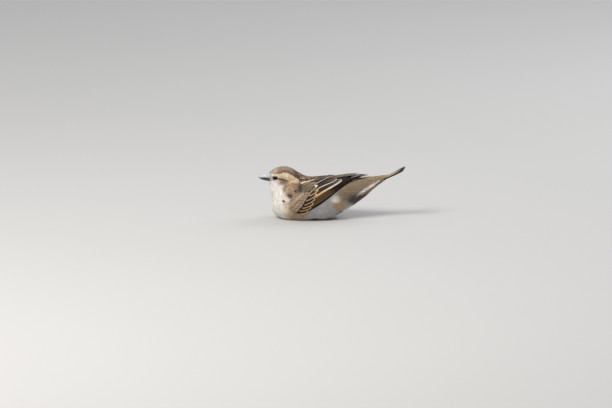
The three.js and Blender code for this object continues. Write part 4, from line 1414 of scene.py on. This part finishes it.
def on_back(x, lane):
    """A point on the back: lane is the turn from the top, in degrees, that it has at x = -30."""
    drawn_in = 1 - (1 - curve_at(x, BACK_RUN)) * np.interp(lane, (40, 90), (1.0, 0.5))
    turn = math.radians(lane * drawn_in)
    axis = Vector((x, 0.0, float(wing_form.axis(x))))
    out = Vector((0.0, -math.sin(turn), math.cos(turn)))
    return np.array(whole_surface.tree.ray_cast(axis + out * 60, -out, 80)[0])


def lane_tones(number, fade):
    """The look of a back feather by its lane, from the middle out: tones, core and fringe."""
    if number == 4:
        return web_tones(BACK_BUFF, CREAM * 1.06, CREAM) | {"core": BACK_BROWN * 0.8}, 0.16, 1.9
    if number == 1 and rng.random() < 0.3:
        return web_tones(BACK_BROWN * 0.9, CREAM, CREAM) | {"core": BACK_BLACK}, 0.22, 1.5
    if number in (0, 2, 3, 5):
        body = BACK_BROWN * fade
        return web_tones(body, BACK_BUFF * fade, BACK_BUFF * 0.85) | {"core": BACK_BLACK}, 0.5, 0.5
    if number == 1:
        body = BACK_BROWN * 1.1 * fade
        return web_tones(body, BACK_BUFF, BACK_BUFF) | {"core": body * 0.55}, 0.3, 0.8
    body = SCAPULAR_GREY * fade
    return web_tones(body, BACK_BUFF, SCAPULAR_GREY * 1.15) | {"core": body * 0.45}, 0.35, 0.6


mantle = []
row = 0
x = FIRST_ROW
while x < LAST_ROW:
    lowest = curve_at(x, LAST_LANE)
    length = float(curve_at(x, MANTLE_LENGTH))
    for number in range(9):
        lane = 5.0 + LANE_STEP * number
        if lane > lowest:
            break
        start = x + rng.uniform(-1.3, 1.3 if row else 3.2)
        run = lane + rng.uniform(-1.6, 1.6)
        line = [on_back(start + length * share, run) for share in (0.0, 0.33, 0.67, 1.0)]
        tones, core_at, fringe = lane_tones(number, 1 + 0.12 * rng.standard_normal())
        lift = (0.05, 0.25, 0.4)[min(row, 2)] + 0.004 * (92 - lane) + 0.02 * row
        mantle.append(
            quill(whole_surface, np.array(line), (2.3, 2.3), (-1.1, lift), tones, rows=12, tip_from=0.45,
                  pointed=0.4, out_edge=fringe, in_edge=fringe * 0.6, core_at=core_at, camber=0.2)
        )
    x += ROW_STEP
    row += 1
for side, mirrored in SIDES:
    quill_piece(f"mantle_{side}", mantle, LOOSE_VANE, mirrored)

# ---- The tail ------------------------------------------------------------------------------
# Twelve stiff tail feathers, closed into a narrow blade with a shallow fork. The middle pair
# lies on top and covers the rest but for their outer webs.

TAIL_ROOT = np.array([40.0, 0.0, 34.9])
TAIL_TIP = np.array([73.5, 0.0, 51.4])
TAIL_HALF = (4.6, 8.2)  # half widths at root and tip
# Tail tones: the brown is lightened in part as a painted highlight on the top, and the near black serves in
# part as a painted shadow along the near edge.
TAIL_BROWN_AND_HIGHLIGHT = paint(152, 136, 114)
TAIL_DARK_AND_SHADOW = paint(36, 30, 28)
TAIL_FRINGE = paint(206, 190, 164)


class TailForm:
    """The upper face of the closed tail: a straight blade, arched from side to side."""

    run = unit(TAIL_TIP - TAIL_ROOT)
    up = np.array([-run[2], 0.0, run[0]])
    length = float(np.linalg.norm(TAIL_TIP - TAIL_ROOT))

    def half(self, along):
        """Half the tail's width at a length from its root."""
        return TAIL_HALF[0] + (TAIL_HALF[1] - TAIL_HALF[0]) * np.clip(along / self.length, 0, 1)

    def place(self, along, y, over=0.0):
        """The point at a length from the root and a distance to the side, or one over it."""
        sag = 0.5 * np.sin(np.pi * np.clip(along / self.length, 0, 1))
        rise = 1.3 * (1 - (y / self.half(along)) ** 2) - 0.65 - sag + over
        spots = TAIL_ROOT + self.run * np.asarray(along)[..., None] + self.up * np.asarray(rise)[..., None]
        spots[..., 1] = y
        return spots

    def lay(self, points, height):
        """Points moved to stand at a height over the blade, and its normals there."""
        along = (points - TAIL_ROOT) @ self.run
        y = points[..., 1]
        slope = -2.6 * y / self.half(along) ** 2
        normals = unit(self.up - slope[..., None] * np.array([0.0, 1.0, 0.0]))
        return self.place(along, y, np.asarray(height)), normals


# For each feather of a side, from the middle pair out: how far it falls short of the tail's tip, which makes
# the fork, and its tone. The middle feathers' pale brown is partly a painted highlight on the tail's top, and
# the outer three are painted near black as a painted shadow along its near edge.
TAIL_SHORT = (0.5, 0.0, 0.4, 1.1, 2.0, 3.1)
TAIL_TONES = (TAIL_BROWN_AND_HIGHLIGHT * 1.1, TAIL_BROWN_AND_HIGHLIGHT, TAIL_BROWN_AND_HIGHLIGHT * 0.8, TAIL_DARK_AND_SHADOW * 1.2, TAIL_DARK_AND_SHADOW, TAIL_DARK_AND_SHADOW * 0.7)
tail_form = TailForm()
rectrices = []
for k in range(5, -1, -1):
    tip = tail_form.length - TAIL_SHORT[k]
    along = np.linspace(-5.0, tip, 6)
    y = -np.interp(along, (-5, tip), (0.5 + 0.3 * k, 1.75 + 1.06 * k))
    line = tail_form.place(along, y)
    outer = 1.15 if k == 5 else 1.7
    tone = TAIL_TONES[k]
    look = web_tones(tone, tone if k > 2 else TAIL_FRINGE, tone, TAIL_DARK_AND_SHADOW, 0.86)
    look["body"] = turn_towards(tone, TAIL_DARK_AND_SHADOW, 0.95, 0.68, 0.94)
    level = 0.28 - 0.13 * k
    rectrices.append(
        quill(tail_form, line, (outer, 3.4), (level, level), look, rows=22, tip_from=0.86, out_edge=0.35,
              in_edge=0.15 if k else 0.4, camber=0.22, tip_bar=0.2)
    )
for side, mirrored in SIDES:
    piece = quill_piece(f"tail_{side}", rectrices, STIFF_VANE, mirrored)
    if side == "left":
        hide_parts("tail")

# Coverts close the gap between body and tail: brown ones above, and long pale ones below.
rear_surface = form_surface(("rump", "tail"), FINE_GRID, 10)
TAIL_COVERT = paint(142, 121, 94)
TAIL_COVERT_EDGE = paint(166, 145, 116)
UNDER_EDGE = paint(234, 222, 204)


def on_rear(x, y, side):
    """The top of rump and tail at x, y, or the under side where side is -1."""
    start = Vector((x, y, 22 + 60 * side))
    return np.array(rear_surface.tree.ray_cast(start, Vector((0, 0, -side)), 120)[0])


def rows_of_tail_coverts(rows, lanes, side, length, tones, core_at):
    """Rows from the rump back, the first one uppermost; side is 1 above and -1 below."""
    found = []
    for order, x in enumerate(rows):
        level = (-0.9, 0.35 + 0.05 * (len(rows) - order))
        narrow = np.interp(x, (30, 50), (1.0, 0.7))
        for y in lanes:
            start, reach = x + rng.uniform(-1, 1), length * rng.uniform(0.9, 1.1)
            run = [(start + reach * share, -y * narrow * (1 - 0.1 * share)) for share in (0, 0.5, 1)]
            line = np.array([on_rear(*place, side) for place in run])
            found.append(
                quill(rear_surface, line, (1.8, 1.8), level, tones, rows=10, tip_from=0.45, pointed=0.45,
                      out_edge=0.5, in_edge=0.5, core_at=core_at, camber=0.15)
            )
    return found


tail_coverts = rows_of_tail_coverts(
    (31, 34.5, 38, 41.5, 45), (0.9, 3.2, 5.4), 1, 10.0,
    web_tones(TAIL_COVERT, TAIL_COVERT_EDGE, TAIL_COVERT_EDGE) | {"core": TAIL_COVERT * 0.7}, 0.3)
tail_coverts += rows_of_tail_coverts(
    (28, 32, 36, 40, 44), (0.9, 2.9), -1, 12.0,
    web_tones(UNDERTAIL, UNDER_EDGE, UNDER_EDGE) | {"core": UNDERTAIL * 0.62}, 0.25)
for side, mirrored in SIDES:
    quill_piece(f"tail_coverts_{side}", tail_coverts, LOOSE_VANE, mirrored)

# ---- The bill ------------------------------------------------------------------------------
# A deep cone of horn in two halves over the jaw, with a blunt ridge, a cutting edge, and a
# nostril each side at the root that the forehead's feathers half hide.

LINES_STRETCH = (260.0, 1500.0, 1500.0)  # growth lines to the metre, along the bill and across
NOSTRIL = np.array([-64.9, 2.35, 43.2])
CUTTING_EDGE = 40.75  # its height


def horn_material(name, ridge, side, root, low_z, high_z):
    """Horn: tones by height, which carry a painted highlight and painted shade, fine growth lines along the
    bill, and a worn gloss.
    """
    material, tree, shader = new_material(name, 0.38)
    place = own_place(tree)
    x, _, z = split_up(tree, place)
    tone = mixed(tree, ramp_of(tree, z, low_z * MM, high_z * MM), side, ridge)
    base = ramp_of(tree, x, -68.5 * MM, -62.5 * MM)
    tone = mixed(tree, maths(tree, "MULTIPLY", base, 0.4), tone, root)
    stretch = tree.nodes.new("ShaderNodeMapping")
    stretch.inputs["Scale"].default_value = LINES_STRETCH
    feed(tree, stretch.inputs["Vector"], place)
    lines = noise(tree, 1.0, 5.0, stretch.outputs["Vector"])
    tone = mixed(tree, maths(tree, "MULTIPLY", lines, 0.35), tone, 0.55 * side)
    feed(tree, shader.inputs["Base Color"], tone)
    feed(tree, shader.inputs["Roughness"], maths(tree, "MULTIPLY_ADD", lines, 0.25, 0.26))
    bumped(tree, shader, lines, 0.35, 0.06)
    return material


def smooth_horn(name, node, grid, passes):
    """A hard piece made from its own CAD node, with its edges rubbed round."""
    piece = solid_copy(name, (node,))
    make_even(piece, grid, passes)
    select_only(piece)
    bpy.ops.object.shade_smooth()
    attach(piece, "root")
    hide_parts(node)
    return piece


BILL_GRID = 0.22 * MM
upper = smooth_horn("horn_upper", "bill_upper", BILL_GRID, 10)
points = vertex_rows(upper.data, "co") / MM
for side in (-1, 1):
    gap = (points - NOSTRIL * (1, side, 1)) * (0.62, 1.0, 1.3)
    dent = np.exp(-((np.linalg.norm(gap, axis=1) / 0.55) ** 2))
    points[:, 1] -= side * 0.75 * dent
edge = np.exp(-(((points[:, 2] - CUTTING_EDGE) / 0.35) ** 2))
points[:, 1] *= 1 + 0.03 * edge
upper.data.vertices.foreach_set("co", (points * MM).ravel())
# Upper bill: its pale ridge is a painted highlight from the light above, and its dark blue-grey side is
# partly painted shade.
upper.data.materials.append(horn_material("Bill horn upper", paint(208, 213, 222), paint(66, 70, 92),
                                          paint(170, 164, 158), 40.3, 42.6))
lower = smooth_horn("horn_lower", "bill_lower", BILL_GRID, 10)
# Lower bill: its dark navy is partly painted shade under the upper bill.
lower.data.materials.append(horn_material("Bill horn lower", paint(44, 46, 62), paint(70, 58, 54),
                                          paint(120, 104, 88), 37.2, 39.6))

# ---- The eyes ------------------------------------------------------------------------------
# Glass eyes in the mount: a dark brown iris round a wide black pupil under a clear cornea,
# held by thin lids of bare grey skin.

GAZE = (-0.20, 1.0, 0.03)  # the way an eye faces: forwards, out and up
LID_RING = 2.40 * MM
LID_THICKNESS = 0.24 * MM
LID_HEIGHT = 0.86  # of the opening, as a share of its length
PUPIL_BLACK = (0.0015, 0.0015, 0.0015, 1.0)
IRIS_DARK = (0.008, 0.004, 0.002, 1.0)
IRIS_BROWN = (0.026, 0.012, 0.006, 1.0)
IRIS_RIM = (0.004, 0.003, 0.002, 1.0)


def put_place_in_mesh(piece):
    """Leaves a piece at the origin, unturned, with its place in its mesh."""
    select_only(piece)
    bpy.ops.object.transform_apply(location=True, rotation=True, scale=True)


for side, mirror in (("left", -1), ("right", 1)):
    low, high = (Vector(corner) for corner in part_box(f"eye_{side}"))
    centre = (low + high) / 2
    radius = (high - low)[2] / 2
    look = Vector((GAZE[0], mirror * GAZE[1], GAZE[2])).normalized()
    turn = look.to_track_quat("Z", "Y").to_euler()
    bpy.ops.object.select_all(action="DESELECT")
    bpy.ops.mesh.primitive_uv_sphere_add(segments=48, ring_count=32, radius=radius * 0.985, location=centre,
                                         rotation=turn)
    ball = bpy.context.object
    ball.name = f"glass_eye_{side}"
    put_place_in_mesh(ball)
    bpy.ops.object.shade_smooth()
    material, tree, shader = new_material(f"Glass eye {side}", 0.06)
    gap = tree.nodes.new("ShaderNodeVectorMath")
    gap.operation = "SUBTRACT"
    gap.inputs[1].default_value = centre
    feed(tree, gap.inputs[0], own_place(tree))
    dot = tree.nodes.new("ShaderNodeVectorMath")
    dot.operation = "DOT_PRODUCT"
    dot.inputs[1].default_value = look / radius
    feed(tree, dot.inputs[0], gap.outputs["Vector"])
    iris = ramp_of(tree, dot.outputs["Value"], 0.86, 0.83)
    fibres = noise(tree, 2600.0, 4.0)
    brown = mixed(tree, fibres, IRIS_DARK, IRIS_BROWN)
    rim = ramp_of(tree, dot.outputs["Value"], 0.70, 0.62)
    brown = mixed(tree, rim, brown, IRIS_RIM)
    feed(tree, shader.inputs["Base Color"], mixed(tree, iris, PUPIL_BLACK, brown))
    shader.inputs["Specular IOR Level"].default_value = 0.0
    shader.inputs["Coat Weight"].default_value = 0.4
    shader.inputs["Coat Roughness"].default_value = 0.03
    ball.data.materials.append(material)
    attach(ball, "root")
    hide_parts(f"eye_{side}")

    bpy.ops.object.select_all(action="DESELECT")
    bpy.ops.mesh.primitive_torus_add(major_segments=56, minor_segments=12, major_radius=LID_RING,
                                     minor_radius=LID_THICKNESS, location=centre + look * 1.80 * MM,
                                     rotation=turn)
    lid = bpy.context.object
    lid.name = f"lids_{side}"
    lid.scale = (1.0, LID_HEIGHT, 1.0)
    put_place_in_mesh(lid)
    bpy.ops.object.shade_smooth()
    material, tree, shader = new_material(f"Lid skin {side}", 0.6)
    tone = mixed(tree, noise(tree, 3000.0), (0.03, 0.024, 0.02, 1.0), (0.09, 0.075, 0.065, 1.0))
    feed(tree, shader.inputs["Base Color"], tone)
    bumped(tree, shader, noise(tree, 4200.0), 0.6, 0.08)
    lid.data.materials.append(material)
    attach(lid, "root")

# ---- The feet ------------------------------------------------------------------------------
# Thin legs and toes of bone and sinew in a scaly skin, folded under the belly, with curved
# claws of horn.

SCALE_DARK = paint(132, 108, 90)
SCALE_PALE = paint(164, 138, 116)
SCALE_SEAM = paint(92, 72, 60)
CLAW_DARK = paint(70, 56, 48)
CLAW_PALE = paint(112, 92, 78)

for side, _ in SIDES:
    material, tree, shader = new_material(f"Leg scales {side}", 0.5)
    plates = tree.nodes.new("ShaderNodeTexVoronoi")
    plates.feature = "DISTANCE_TO_EDGE"
    plates.inputs["Scale"].default_value = 1100.0
    feed(tree, plates.inputs["Vector"], own_place(tree))
    seam = ramp_of(tree, plates.outputs["Distance"], 0.0, 0.14)
    tone = mixed(tree, seam, SCALE_SEAM, mixed(tree, noise(tree, 500.0), SCALE_DARK, SCALE_PALE))
    feed(tree, shader.inputs["Base Color"], tone)
    bumped(tree, shader, seam, 0.7, 0.08)
    for part in ("tarsus", "foot"):
        piece = smooth_horn(f"scaled_{part}_{side}", f"leg_{side}_{part}", 0.3 * MM, 4)
        piece.data.materials.append(material)
    claw_horn, tree, shader = new_material(f"Claw horn {side}", 0.35)
    feed(tree, shader.inputs["Base Color"], mixed(tree, noise(tree, 900.0), CLAW_DARK, CLAW_PALE))
    for which in ("hind", "inner", "middle", "outer"):
        piece = smooth_horn(f"horn_claw_{side}_{which}", f"claw_{side}_{which}", 0.2 * MM, 4)
        piece.data.materials.append(claw_horn)
